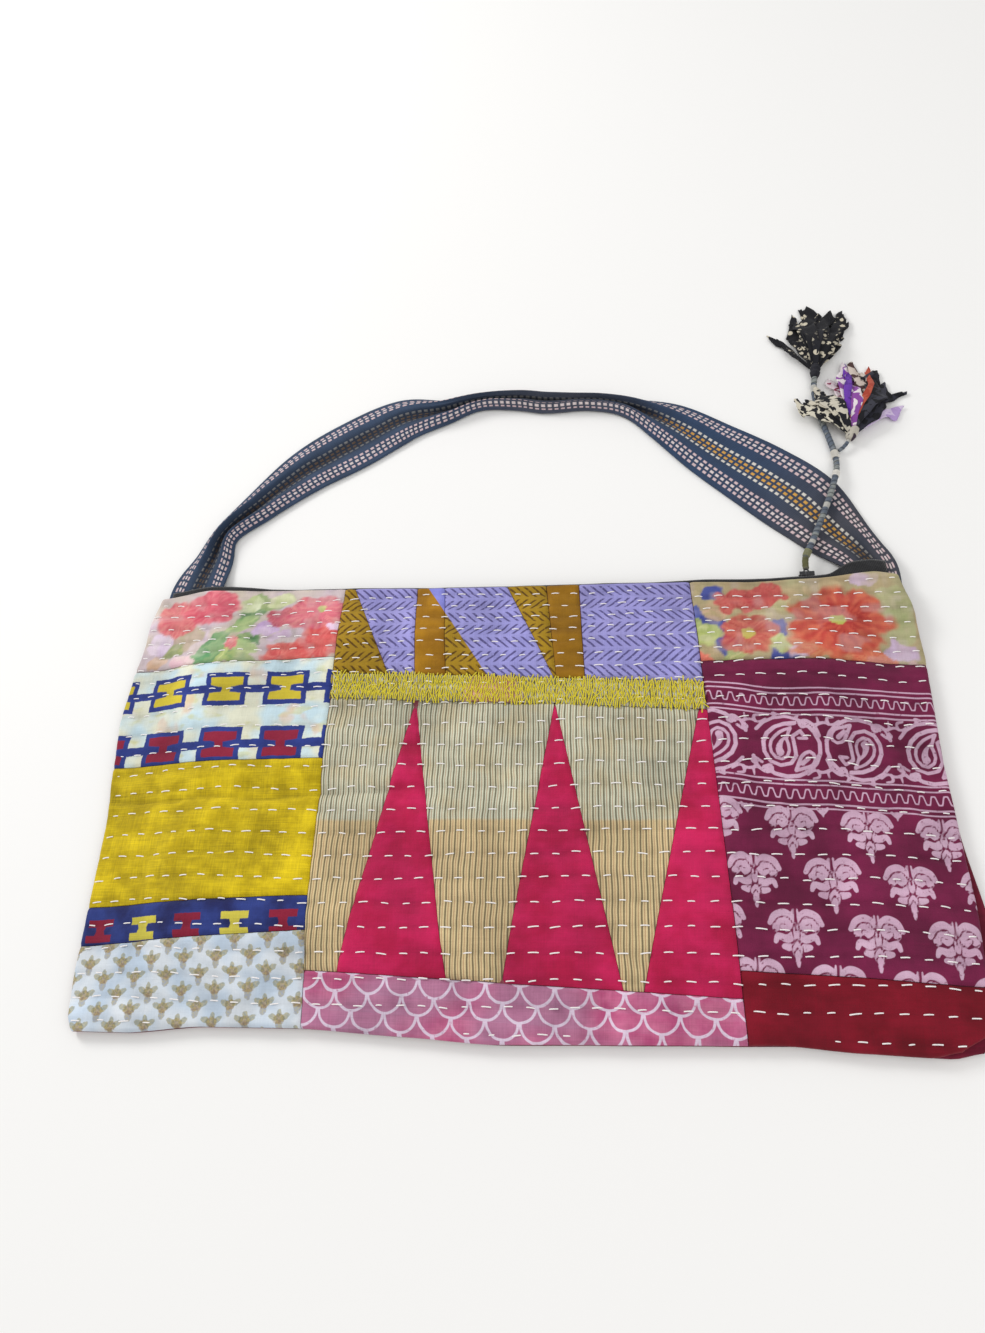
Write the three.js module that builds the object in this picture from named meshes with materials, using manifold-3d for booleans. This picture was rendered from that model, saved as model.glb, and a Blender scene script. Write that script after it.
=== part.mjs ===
import * as THREE from 'three';
import { mergeVertices } from 'three/addons/utils/BufferGeometryUtils.js';
import Module from 'manifold-3d';

// A patchwork pouch with a zip, a woven strap and a tasselled pull, lying on its back on a table.
// Millimetres. X runs across the bag, Y from the bottom seam to the mouth, Z up from the table.

// Driving sizes of the bag
const bagWidth = 420;
const bagHeight = 246;
const backQuilt = 2.4;
const frontQuilt = 1.5;
const patchCloth = 0.9;
const fitGap = 0.3;
const insideHeight = 10.2;
const sideBulge = 11;
const seamWave = 4.5;
const backOverhang = 9;

// Where the front rises from its seams, measured from each edge
const sideShoulder = 62;
const footShoulder = 58;
const mouthShoulder = 40;

// Zip
const tapeCloth = 0.7;
const tapeDepth = 13;
const tapeShow = 9;
const chainThick = 1.8;
const chainWidth = 4;
const chainProud = 0.6;
const sliderAcross = 8;
const sliderDeep = 2.6;
const sliderHigh = 4.2;
const ringRadius = 1.3;
const ringWire = 0.45;
const sliderShare = 0.889;

// Strap
const strapWidth = 50;
const strapCloth = 1.2;
const strapReach = 142;
const strapTuck = 12;
const strapRidge = 8;
const strapDrop = 28;
const strapLip = 4;
const seamGather = 2;
const looseGather = 1.5;

// Pull: cord, branch and tassels
const cordThick = 3.5;
const branchThick = 2.2;
const tasselLength = 58;
const stripWidth = 9;
const stripCloth = 1.3;
const headRadius = 3.2;
const headLength = 9;

// Dents and folds of the quilted front
const foldDepth = 1.6;
const foldHalfWidth = 7;
const ripple = 0.7;

// Side seams: share of the height, then how far each side stands out, as a share of sideBulge
const sides = [
  { up: 0, left: 0, right: -0.35 },
  { up: 0.03, left: 0.25, right: 0.65 },
  { up: 0.12, left: 0.42, right: 1.02 },
  { up: 0.25, left: 0.46, right: 1.1 },
  { up: 0.42, left: 0.52, right: 0.9 },
  { up: 0.56, left: 0.84, right: 0.74 },
  { up: 0.68, left: 1.05, right: 0.73 },
  { up: 0.8, left: 0.88, right: 0.72 },
  { up: 0.9, left: 0.42, right: 0.52 },
  { up: 1, left: 0, right: 0 },
];

// Bottom seam and mouth: share of the width, then how far each edge moves up, as a share of seamWave
const ends = [
  { across: 0, bottom: 0, mouth: -0.4 },
  { across: 0.07, bottom: 0.02, mouth: 0.66 },
  { across: 0.16, bottom: 0.86, mouth: 0.36 },
  { across: 0.28, bottom: 0.98, mouth: 0.22 },
  { across: 0.4, bottom: 0.45, mouth: -0.16 },
  { across: 0.5, bottom: -0.05, mouth: -0.32 },
  { across: 0.62, bottom: 0.24, mouth: -0.4 },
  { across: 0.74, bottom: 0.5, mouth: -0.6 },
  { across: 0.82, bottom: 0.7, mouth: -0.92 },
  { across: 0.9, bottom: 0.2, mouth: -0.76 },
  { across: 0.97, bottom: 0, mouth: -0.1 },
  { across: 1, bottom: 0.6, mouth: -0.6 },
];

// How much of the zip's front tape shows past the mouth, as a share of tapeShow
const tapeEdge = [
  { across: 0, show: 0.5 },
  { across: 0.1, show: 0.42 },
  { across: 0.2, show: 0.14 },
  { across: 0.68, show: 0.14 },
  { across: 0.78, show: 0.3 },
  { across: 0.915, show: 0.3 },
  { across: 0.945, show: 0.95 },
  { across: 1, show: 1 },
];

// Strap centre line from its left end: share of half the bag's width, share of strapReach beyond the
// mouth, and the width that it keeps there, as a share of strapWidth
const strapPath = [
  { across: -0.912, reach: -0.085, width: 0.66 },
  { across: -0.912, reach: 0.03, width: 0.64 },
  { across: -0.886, reach: 0.2, width: 0.5 },
  { across: -0.864, reach: 0.335, width: 0.36 },
  { across: -0.774, reach: 0.482, width: 0.5 },
  { across: -0.636, reach: 0.676, width: 0.72 },
  { across: -0.512, reach: 0.797, width: 0.8 },
  { across: -0.362, reach: 0.922, width: 0.7 },
  { across: -0.23, reach: 0.958, width: 0.4 },
  { across: -0.123, reach: 0.996, width: 0.22 },
  { across: 0, reach: 0.994, width: 0.28 },
  { across: 0.081, reach: 0.972, width: 0.3 },
  { across: 0.21, reach: 0.954, width: 0.2 },
  { across: 0.314, reach: 0.922, width: 0.26 },
  { across: 0.438, reach: 0.824, width: 0.6 },
  { across: 0.567, reach: 0.662, width: 0.82 },
  { across: 0.686, reach: 0.514, width: 0.94 },
  { across: 0.786, reach: 0.373, width: 0.96 },
  { across: 0.857, reach: 0.232, width: 0.78 },
  { across: 0.921, reach: 0.1, width: 0.54 },
  { across: 0.948, reach: 0.02, width: 0.5 },
  { across: 0.95, reach: -0.085, width: 0.5 },
];

// Left column from the mouth down: height of each piece's lower seam at the side and at the column's
// inner seam, as shares of the bag's height
const leftColumn = [
  { name: 'patch_floral_left', color: 0xd9b8a8, outer: 0.802, inner: 0.809 },
  { name: 'patch_link_print', color: 0xd8d6b4, outer: 0.56, inner: 0.562 },
  { name: 'patch_yellow', color: 0xc79a10, outer: 0.24, inner: 0.266 },
  { name: 'patch_blue_band', color: 0x2c2f6e, outer: 0.157, inner: 0.199 },
  { name: 'patch_sprig', color: 0xd2dbe2, outer: -0.05, inner: -0.05 },
];

const rightColumn = [
  { name: 'patch_floral_right', color: 0xcf7f66, inner: 0.776, outer: 0.773 },
  { name: 'patch_maroon_print', color: 0x7a1740, inner: 0.138, outer: 0.118 },
  { name: 'patch_red_band', color: 0x7d0718, inner: -0.05, outer: -0.05 },
];

// Herringbone strip: where each piece ends on the strip's upper and lower edge, as shares of its width
const mustard = 0xa8730f;
const lilac = 0x9d8fd6;
const chevronStrip = [
  { upper: 0.03, lower: 0.158, color: mustard },
  { upper: 0.218, lower: 0.232, color: lilac },
  { upper: 0.3, lower: 0.318, color: mustard },
  { upper: 0.482, lower: 0.612, color: lilac },
  { upper: 0.596, lower: 0.618, color: mustard },
  { upper: 0.69, lower: 0.694, color: mustard },
  { upper: 1, lower: 1, color: lilac },
];

// Striped tongues between pink triangles: the tip of each triangle on the embroidered band and the
// corners of each tongue's foot on the scallop print, as shares of the centre column's width
const triangleTips = [0.238, 0.612, 0.98];
const tongueFeet = [
  { left: 0, right: 0.08 },
  { left: 0.34, right: 0.468 },
  { left: 0.742, right: 0.786 },
];

// Heights of the centre column's seams on its left and right side, as shares of the bag's height
const centreSeams = {
  chevronFoot: { left: 0.768, right: 0.727 },
  bandFoot: { left: 0.708, right: 0.663 },
  tongueFoot: { left: 0.124, right: 0.09 },
};

// The two seams between the columns: share of the bag's width at the bottom and at the mouth
const columnSeams = {
  left: { bottom: -0.2195, mouth: -0.2305 },
  right: { bottom: 0.276, mouth: 0.2375 },
};

// Loose strips of each tassel: heading in degrees from +Y towards +X, length, width and lift as shares
// of tasselLength, stripWidth and the head's radius, and whether the strip rests on the cord or the table
const upperStrips = [
  { heading: -37, length: 0.78, width: 0.3, lift: 0.2 },
  { heading: -9, length: 0.8, width: 1.2, lift: 0.3 },
  { heading: -1, length: 1, width: 1.3, lift: 0.9 },
  { heading: 4, length: 0.9, width: 1.1, lift: 2 },
  { heading: 8, length: 0.98, width: 1.2, lift: 0.4 },
  { heading: 16, length: 0.94, width: 1.2, lift: 1.5 },
  { heading: 25, length: 0.98, width: 1.1, lift: 0.7 },
  { heading: 33, length: 0.72, width: 0.9, lift: 0.2 },
];

const lowerStrips = [
  { heading: -47, length: 0.74, width: 1.2, lift: 0.8, onCord: true },
  { heading: -30, length: 0.72, width: 0.9, lift: 1.4, onCord: true },
  { heading: -6, length: 0.84, width: 0.9, lift: 1.6 },
  { heading: 4, length: 1.04, width: 1, lift: 2.2 },
  { heading: 14, length: 1.04, width: 1.1, lift: 0.9 },
  { heading: 27, length: 1, width: 1.1, lift: 1.8 },
  { heading: 42, length: 0.84, width: 1.1, lift: 0.6 },
  { heading: 55, length: 0.68, width: 0.7, lift: 0.2 },
];

// The pull's cord, from the slider over the strap to the upper tassel, and its branch to the lower one
const cordRoute = [
  [163.4, 251.3, 4.6],
  [163.4, 254.5, 4.6],
  [163.8, 258, 4.6],
  [165.3, 262, 4.7],
  [168.4, 268.4, 5.2],
  [171.8, 276.5, 5.6],
  [175.4, 285, 5.2],
  [178.8, 293.5, 4.8],
  [181.9, 301.8, 4.6],
  [184.4, 309.5, 4.2],
  [186.6, 317, 3.4],
  [187.6, 325, 2.5],
  [187.2, 333, 2],
  [185.4, 343, 1.9],
  [183, 354.5, 1.8],
  [181.3, 365, 1.8],
  [180.5, 375, 1.8],
  [180.6, 383, 1.9],
  [181.6, 389.8, 2.6],
];
const branchRoute = [
  [189.9, 333.4, 2.1],
  [192.4, 335.2, 2.3],
  [194.6, 337.6, 2.6],
  [196, 340, 3],
];

// Resolution of the faceted cloth
const panelColumns = 24;
const panelRows = [0, 0.035, 0.085, 0.15, 0.23, 0.32, 0.41, 0.45, 0.475, 0.5, 0.58, 0.67, 0.76, 0.84, 0.9, 0.95, 1];
const strapSteps = 46;
const strapFacets = 10;

const wasm = await Module();
wasm.setup();

const mix = THREE.MathUtils.lerp;

// 0 below the first limit, 1 above the second, smooth between them
function ramp(value, from, to) {
  return THREE.MathUtils.smoothstep(value, from, to);
}

// A smooth value between the rows of a table
function along(rows, key, column, value) {
  const last = rows.length - 1;
  let i = 0;
  while (i < last - 1 && rows[i + 1][key] < value) i += 1;
  const span = rows[i + 1][key] - rows[i][key];
  const t = THREE.MathUtils.clamp((value - rows[i][key]) / span, 0, 1);
  return mix(rows[i][column], rows[i + 1][column], ramp(t, 0, 1) * 0.5 + t * 0.5);
}

// A point of a panel's outline grid, from the share across and the share up
function panelPoint(across, up, overhang = 0) {
  const left = -bagWidth / 2 - sideBulge * along(sides, 'up', 'left', up);
  const right = bagWidth / 2 + sideBulge * along(sides, 'up', 'right', up) + overhang * (1 - ramp(up, 0, 0.5));
  const bottom = seamWave * along(ends, 'across', 'bottom', across);
  const mouth = bagHeight + seamWave * along(ends, 'across', 'mouth', across);
  return [mix(left, right, across), mix(bottom, mouth, up)];
}

// Layers at the mouth: the two tapes with the chain between them, or with a strap end under them
const strapSeamThick = strapCloth * seamGather;
const seamTop = backQuilt + fitGap + frontQuilt;
const mouthMiddle = seamTop + 3 * fitGap + 2 * tapeCloth + chainThick;
const mouthCorner = seamTop + 3 * fitGap + 2 * tapeCloth + strapSeamThick;
const loftTop = backQuilt + insideHeight + frontQuilt + fitGap;
const strapEndShare = 0.17;
const strapEndFlat = 0.6;

// 1 over the strap's ends and 0 between them
function overStrap(across) {
  const fromSide = Math.min(across, 1 - across);
  return 1 - ramp(fromSide, strapEndShare * strapEndFlat, strapEndShare);
}

function mouthTop(across) {
  return mix(mouthMiddle, mouthCorner, overStrap(across));
}

// Height of the front quilt's outer face
function frontTop(across, up) {
  const edge = mix(seamTop, mouthTop(across), ramp(up, 0.82, 0.94));
  const fromSide = Math.min(across, 1 - across) * bagWidth;
  const rise = ramp(fromSide, 0, sideShoulder) * ramp(up * bagHeight, 0, footShoulder)
    * ramp((1 - up) * bagHeight, 0, mouthShoulder);
  const fold = foldDepth * Math.exp(-(((up - 0.475) * bagHeight / foldHalfWidth) ** 2)) * (1 - ramp(across, 0.3, 0.9));
  const waves = ripple * Math.sin(across * 19 + up * 5) * Math.cos(up * 13 - across * 4);
  return edge + rise * (loftTop - edge - fold + waves);
}

// A closed sheet over a grid of shares: lower and upper give each grid point's two heights
function sheetGeometry(columns, rows, pointAt, lower, upper) {
  const positions = [];
  const index = [];
  const across = columns.length;
  for (const height of [lower, upper]) {
    for (const up of rows) {
      for (const share of columns) {
        const [x, y] = pointAt(share, up);
        positions.push(x, y, height(share, up));
      }
    }
  }
  const layer = across * rows.length;
  const quad = (a, b, c, d) => index.push(a, b, c, a, c, d);
  for (let j = 0; j < rows.length - 1; j += 1) {
    for (let i = 0; i < across - 1; i += 1) {
      const a = j * across + i;
      quad(a, a + across, a + across + 1, a + 1);
      quad(layer + a, layer + a + 1, layer + a + across + 1, layer + a + across);
    }
  }
  const rim = [];
  for (let i = 0; i < across - 1; i += 1) rim.push(i);
  for (let j = 0; j < rows.length - 1; j += 1) rim.push(j * across + across - 1);
  for (let i = across - 1; i > 0; i -= 1) rim.push((rows.length - 1) * across + i);
  for (let j = rows.length - 1; j > 0; j -= 1) rim.push(j * across);
  rim.forEach((a, k) => {
    const b = rim[(k + 1) % rim.length];
    quad(a, b, layer + b, layer + a);
  });
  const geometry = new THREE.BufferGeometry();
  geometry.setAttribute('position', new THREE.Float32BufferAttribute(positions, 3));
  geometry.setIndex(index);
  return geometry;
}

function evenShares(count) {
  return Array.from({ length: count + 1 }, (_, i) => i / count);
}

// A closed loft through rings of points, each ring anticlockwise seen from the path's start
function loftGeometry(rings) {
  const positions = rings.flat(2);
  const sides = rings[0].length;
  const index = [];
  for (let r = 0; r < rings.length - 1; r += 1) {
    for (let i = 0; i < sides; i += 1) {
      const a = r * sides + i;
      const b = r * sides + (i + 1) % sides;
      index.push(a, a + sides, b, b, a + sides, b + sides);
    }
  }
  const lastRing = (rings.length - 1) * sides;
  for (let i = 0; i < sides / 2 - 1; i += 1) {
    const near = [i, i + 1, sides - 2 - i, sides - 1 - i];
    index.push(near[0], near[1], near[2], near[0], near[2], near[3]);
    index.push(lastRing + near[0], lastRing + near[2], lastRing + near[1]);
    index.push(lastRing + near[0], lastRing + near[3], lastRing + near[2]);
  }
  const geometry = new THREE.BufferGeometry();
  geometry.setAttribute('position', new THREE.Float32BufferAttribute(positions, 3));
  geometry.setIndex(index);
  return geometry;
}

function solidOf(geometry) {
  const bare = geometry.clone();
  bare.deleteAttribute('normal');
  bare.deleteAttribute('uv');
  const merged = mergeVertices(bare, 1e-4);
  return new wasm.Manifold(new wasm.Mesh({
    numProp: 3,
    vertProperties: merged.attributes.position.array,
    triVerts: new Uint32Array(merged.index.array),
  }));
}

function geometryOf(solid) {
  const mesh = solid.getMesh();
  const positions = new Float32Array(mesh.numVert * 3);
  for (let i = 0; i < mesh.numVert; i += 1) {
    positions.set(mesh.vertProperties.subarray(i * mesh.numProp, i * mesh.numProp + 3), i * 3);
  }
  const geometry = new THREE.BufferGeometry();
  geometry.setAttribute('position', new THREE.BufferAttribute(positions, 3));
  geometry.setIndex(new THREE.BufferAttribute(mesh.triVerts, 1));
  return geometry;
}

const bag = new THREE.Group();

function addPiece(name, geometry, color, roughness = 0.9, metalness = 0) {
  const mesh = new THREE.Mesh(geometry, new THREE.MeshStandardMaterial({ color, roughness, metalness }));
  mesh.name = name;
  bag.add(mesh);
  return mesh;
}

// Quilted back and front
function addPanels() {
  const columns = evenShares(panelColumns);
  const backColumns = evenShares(panelColumns / 2);
  const backRows = panelRows.filter((_, i) => i % 2 === 0);
  const backPoint = (across, up) => panelPoint(across, up, backOverhang);
  const back = sheetGeometry(backColumns, backRows, backPoint, () => 0, () => backQuilt);
  addPiece('back_panel', back, 0x6b1630);
  const front = sheetGeometry(columns, panelRows, panelPoint, (a, u) => frontTop(a, u) - frontQuilt, frontTop);
  addPiece('front_panel', front, 0x8a5560);
}

// Moves each side of a convex outline in by half the gap that is left between two patches
function insetOutline(outline) {
  const lines = outline.map((start, i) => {
    const end = outline[(i + 1) % outline.length];
    const direction = new THREE.Vector2().subVectors(end, start).normalize();
    const inward = new THREE.Vector2(-direction.y, direction.x);
    return { start: start.clone().addScaledVector(inward, fitGap / 2), direction };
  });
  return lines.map((line, i) => {
    const before = lines[(i + lines.length - 1) % lines.length];
    const offset = new THREE.Vector2().subVectors(line.start, before.start);
    const reach = offset.cross(line.direction) / before.direction.cross(line.direction);
    return before.start.clone().addScaledVector(before.direction, reach);
  });
}

// One patch: the part of the front's top cloth inside an anticlockwise outline
function addPatch(name, topCloth, outline, color) {
  const shape = new THREE.Shape(insetOutline(outline));
  const cutter = new THREE.ExtrudeGeometry(shape, { depth: 4 * loftTop, bevelEnabled: false });
  addPiece(name, geometryOf(topCloth.intersect(solidOf(cutter))), color);
}

function columnSeam(side, up) {
  return bagWidth * mix(columnSeams[side].bottom, columnSeams[side].mouth, up);
}

// The point on the centre column at a share across it and on a seam given by its two heights
function centrePoint(across, seam) {
  const left = new THREE.Vector2(columnSeam('left', seam.left), bagHeight * seam.left);
  const right = new THREE.Vector2(columnSeam('right', seam.right), bagHeight * seam.right);
  return left.lerp(right, across);
}

function addSideColumn(pieces, side, topCloth) {
  const outerX = (side === 'left' ? -1 : 1) * (bagWidth / 2 + 3 * sideBulge);
  let above = { outer: 1.1, inner: 1.1 };
  for (const piece of pieces) {
    const corners = [above, piece].map((seam) => ({
      outer: new THREE.Vector2(outerX, bagHeight * seam.outer),
      inner: new THREE.Vector2(columnSeam(side, seam.inner), bagHeight * seam.inner),
    }));
    const [top, foot] = corners;
    const outline = [top.outer, foot.outer, foot.inner, top.inner];
    addPatch(piece.name, topCloth, side === 'left' ? outline : outline.reverse(), piece.color);
    above = piece;
  }
}

function addCentreColumn(topCloth) {
  const beyondMouth = { left: 1.03, right: 1.03 };
  const beyondBottom = { left: -0.05, right: -0.05 };
  const { chevronFoot, bandFoot, tongueFoot } = centreSeams;
  let before = { upper: 0, lower: 0 };
  chevronStrip.forEach((piece, i) => {
    // The pieces' edges are straight past the mouth, so their upper share is carried on to the cutter's top
    const rise = (beyondMouth.left - chevronFoot.left) / (1 - chevronFoot.left);
    const carry = (row) => row.lower + (row.upper - row.lower) * rise;
    const outline = [
      centrePoint(carry(before), beyondMouth),
      centrePoint(before.lower, chevronFoot),
      centrePoint(piece.lower, chevronFoot),
      centrePoint(carry(piece), beyondMouth),
    ];
    addPatch(`patch_chevron_${i + 1}`, topCloth, outline, piece.color);
    before = piece;
  });
  const band = [
    centrePoint(0, chevronFoot),
    centrePoint(0, bandFoot),
    centrePoint(1, bandFoot),
    centrePoint(1, chevronFoot),
  ];
  addPatch('patch_embroidered_band', topCloth, band, 0xc9b23a);
  tongueFeet.forEach((foot, i) => {
    const tongueTop = i === 0 ? 0 : triangleTips[i - 1];
    const tip = centrePoint(triangleTips[i], bandFoot);
    const tongue = [
      centrePoint(tongueTop, bandFoot),
      centrePoint(foot.left, tongueFoot),
      centrePoint(foot.right, tongueFoot),
      tip,
    ];
    addPatch(`patch_tongue_${i + 1}`, topCloth, tongue, 0xc2ad86);
    const footRight = i + 1 < tongueFeet.length ? tongueFeet[i + 1].left : 1;
    const triangle = [
      tip,
      centrePoint(foot.right, tongueFoot),
      centrePoint(footRight, tongueFoot),
    ];
    if (footRight === 1) triangle.push(centrePoint(1, bandFoot));
    addPatch(`patch_triangle_${i + 1}`, topCloth, triangle, 0xa80f3e);
  });
  const scallop = [
    centrePoint(0, tongueFoot),
    centrePoint(0, beyondBottom),
    centrePoint(1, beyondBottom),
    centrePoint(1, tongueFoot),
  ];
  addPatch('patch_scallop', topCloth, scallop, 0xc06a7e);
}

function addPatchwork() {
  const lower = (across, up) => frontTop(across, up) + fitGap;
  const upper = (across, up) => lower(across, up) + patchCloth;
  const topCloth = solidOf(sheetGeometry(evenShares(panelColumns), panelRows, panelPoint, lower, upper));
  addSideColumn(leftColumn, 'left', topCloth);
  addCentreColumn(topCloth);
  addSideColumn(rightColumn, 'right', topCloth);
}

// Zip: two tapes folded face to face along the mouth, the chain on their outer edge
const zipInset = 0.012;
const backTapeShort = 1;
const tapeColumns = evenShares(panelColumns).map((share) => mix(zipInset, 1 - zipInset, share));

function mouthLine(across, outward) {
  const [x, y] = panelPoint(across, 1);
  return [x, y + outward];
}

function tapeShowAt(across) {
  return tapeShow * along(tapeEdge, 'across', 'show', across);
}

function frontTapeTop(across) {
  return mouthTop(across) - frontQuilt - fitGap;
}

function addTapes() {
  const frontPoint = (across, out) => mouthLine(across, mix(-tapeDepth, tapeShowAt(across), out));
  const frontTape = sheetGeometry(
    tapeColumns,
    [0, 1],
    frontPoint,
    (across) => frontTapeTop(across) - tapeCloth,
    frontTapeTop,
  );
  addPiece('zip_tape_front', frontTape, 0x0b0b0d);
  const backPoint = (across, out) => mouthLine(across, mix(-tapeDepth, backTapeEdge(across), out));
  const backTapeFoot = (across) => backQuilt + fitGap + (strapSeamThick + fitGap) * overStrap(across);
  const backTape = sheetGeometry(
    tapeColumns,
    [0, 1],
    backPoint,
    backTapeFoot,
    (across) => backTapeFoot(across) + tapeCloth,
  );
  addPiece('zip_tape_back', backTape, 0x0b0b0d);
}

// The back tape ends with the mouth over the strap's ends and with the front tape between them
function backTapeEdge(across) {
  return tapeShowAt(across) * (1 - overStrap(across)) - backTapeShort * overStrap(across);
}

const chainShares = evenShares(panelColumns * 2).filter((share) => overStrap(share) < 0.05);
const chainFoot = backQuilt + 2 * fitGap + tapeCloth;

function addChain() {
  const chainPoint = (across, out) => {
    const outer = tapeShowAt(across) + chainProud;
    return mouthLine(across, mix(outer - chainWidth, outer, out));
  };
  const chain = sheetGeometry(chainShares, [0, 1], chainPoint, () => chainFoot, () => chainFoot + chainThick);
  addPiece('zip_chain', chain, 0x17171a, 0.6);
}

// The slider's body, with a groove that takes the chain's edge, and the ring for the pull
function addSlider() {
  const [x] = mouthLine(sliderShare, 0);
  const reach = sliderAcross / bagWidth;
  const edges = [sliderShare - reach, sliderShare, sliderShare + reach];
  const y = Math.max(...edges.map((share) => mouthLine(share, tapeShowAt(share))[1]));
  const z = chainFoot + chainThick / 2;
  const body = new THREE.BoxGeometry(sliderAcross, sliderDeep, sliderHigh);
  body.translate(x, y + fitGap + sliderDeep / 2, z);
  const groove = new THREE.BoxGeometry(sliderAcross * 2, 2 * (chainProud + fitGap), chainThick + 2 * fitGap);
  groove.translate(x, y + fitGap, z);
  const ring = new THREE.TorusGeometry(ringRadius, ringWire, 6, 12);
  ring.translate(x, y + fitGap + sliderDeep + ringRadius * 0.7, z);
  const slider = solidOf(body).subtract(solidOf(groove)).add(solidOf(ring));
  addPiece('zip_slider', geometryOf(slider), 0x202024, 0.4, 0.8);
}

// Strap: a woven band that keeps its cloth, so it stands in two ridges where it is gathered
function addStrap() {
  const points = strapPath.map((row) => new THREE.Vector3(
    row.across * bagWidth / 2,
    bagHeight + row.reach * strapReach,
    row.width * strapWidth,
  ));
  const path = new THREE.CatmullRomCurve3(points, false, 'centripetal');
  const stations = path.getSpacedPoints(strapSteps);
  const walked = [0];
  stations.forEach((p, i) => {
    if (i) walked.push(walked[i - 1] + Math.hypot(p.x - stations[i - 1].x, p.y - stations[i - 1].y));
  });
  const total = walked[strapSteps];
  const rings = stations.map((p, i) => {
    const before = stations[Math.max(i - 1, 0)];
    const after = stations[Math.min(i + 1, strapSteps)];
    const heading = new THREE.Vector2(after.x - before.x, after.y - before.y).normalize();
    const fromEnd = Math.min(walked[i], total - walked[i]);
    const width = p.z;
    const gather = strapWidth / width;
    const open = ramp(fromEnd, strapTuck + strapLip, strapTuck + strapLip + strapDrop);
    const height = strapRidge * Math.max(0, 1 - 1 / gather) * open;
    const foot = (backQuilt + fitGap) * (1 - open);
    const thick = strapCloth * Math.min(gather, mix(seamGather, looseGather, open));
    const upper = [];
    const lower = [];
    for (let k = 0; k <= strapFacets; k += 1) {
      const share = k / strapFacets;
      const ridge = height * (1 - Math.cos(share * 4 * Math.PI)) / 2;
      const side = (share - 0.5) * width;
      const x = p.x - heading.y * side;
      const y = p.y + heading.x * side;
      upper.push([x, y, foot + thick + ridge]);
      lower.push([x, y, foot + Math.max(0, ridge - (gather - 1) * strapCloth)]);
    }
    return [...upper, ...lower.reverse()];
  });
  addPiece('strap', loftGeometry(rings), 0x3d4757);
}

// A round cord along its route
function cordGeometry(route, thick) {
  const curve = new THREE.CatmullRomCurve3(route.map(([x, y, z]) => new THREE.Vector3(x, y, z)));
  const section = new THREE.Shape();
  for (let i = 0; i < 8; i += 1) {
    const angle = i * Math.PI / 4;
    const [x, y] = [Math.cos(angle) * thick / 2, Math.sin(angle) * thick / 2];
    if (i) section.lineTo(x, y);
    else section.moveTo(x, y);
  }
  section.closePath();
  const steps = Math.max(3, Math.round(curve.getLength() / (2.6 * thick)));
  return new THREE.ExtrudeGeometry(section, { extrudePath: curve, steps, bevelEnabled: false });
}

// One loose strip of a tassel: it leaves the head, rises a little, comes down and widens to its end
function stripGeometry(start, strip) {
  const heading = THREE.MathUtils.degToRad(strip.heading);
  const out = new THREE.Vector2(Math.sin(heading), Math.cos(heading));
  const length = strip.length * tasselLength;
  const width = strip.width * stripWidth;
  const rest = strip.onCord ? cordThick + 3 * fitGap : fitGap / 2;
  const curl = strip.heading;
  const rings = [0, 0.18, 0.4, 0.65, 0.85, 1].map((share) => {
    const bend = 0.07 * length * Math.sin(share * 5 + curl);
    const x = start.x + out.x * share * length + out.y * bend * share;
    const y = start.y + out.y * share * length - out.x * bend * share;
    const arch = Math.sin(Math.PI * Math.min(1, share * 1.15));
    const settled = mix(start.z - stripCloth / 2, rest, ramp(share, strip.onCord ? 0 : 0.1, strip.onCord ? 0.3 : 0.95));
    const z = settled + strip.lift * headRadius * arch;
    const half = width * mix(0.16, 0.5, ramp(share, 0, 0.55)) * (share === 1 ? 0.7 : 1);
    return [
      [x - out.y * half, y + out.x * half, z],
      [x + out.y * half, y - out.x * half, z],
      [x + out.y * half, y - out.x * half, z + stripCloth],
      [x - out.y * half, y + out.x * half, z + stripCloth],
    ];
  });
  return loftGeometry(rings);
}

// A tassel: its strips fused to the wound head that sits on the cord's end
function addTassel(name, route, thick, strips, color) {
  const end = new THREE.Vector3(...route[route.length - 1]);
  const before = new THREE.Vector3(...route[route.length - 2]);
  const aim = new THREE.Vector3().subVectors(end, before).normalize();
  const profile = [
    [0, 0],
    [thick / 2, 0],
    [headRadius, headLength * 0.25],
    [headRadius, headLength * 0.7],
    [headRadius * 0.7, headLength],
    [0, headLength],
  ].map(([r, h]) => new THREE.Vector2(r, h));
  const head = new THREE.LatheGeometry(profile, 10);
  head.applyQuaternion(new THREE.Quaternion().setFromUnitVectors(new THREE.Vector3(0, 1, 0), aim));
  head.translate(...end.clone().addScaledVector(aim, fitGap));
  const start = end.clone().addScaledVector(aim, headLength * 0.5);
  let tassel = solidOf(head);
  for (const strip of strips) tassel = tassel.add(solidOf(stripGeometry(start, strip)));
  addPiece(name, geometryOf(tassel), color);
}

addPanels();
addPatchwork();
addTapes();
addChain();
addSlider();
addStrap();
addPiece('pull_cord', cordGeometry(cordRoute, cordThick), 0x6d7077);
addPiece('pull_cord_branch', cordGeometry(branchRoute, branchThick), 0x8a8b88);
addTassel('tassel_upper', cordRoute, cordThick, upperStrips, 0x14151c);
addTassel('tassel_lower', branchRoute, branchThick, lowerStrips, 0x6f5f66);

// The frame's origin is under the middle of the bag, on the table
bag.position.y = -bagHeight / 2;

export default new THREE.Group().add(bag);
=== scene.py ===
import math

import bmesh
import bpy
import numpy as np
from mathutils import Matrix, Vector


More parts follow.
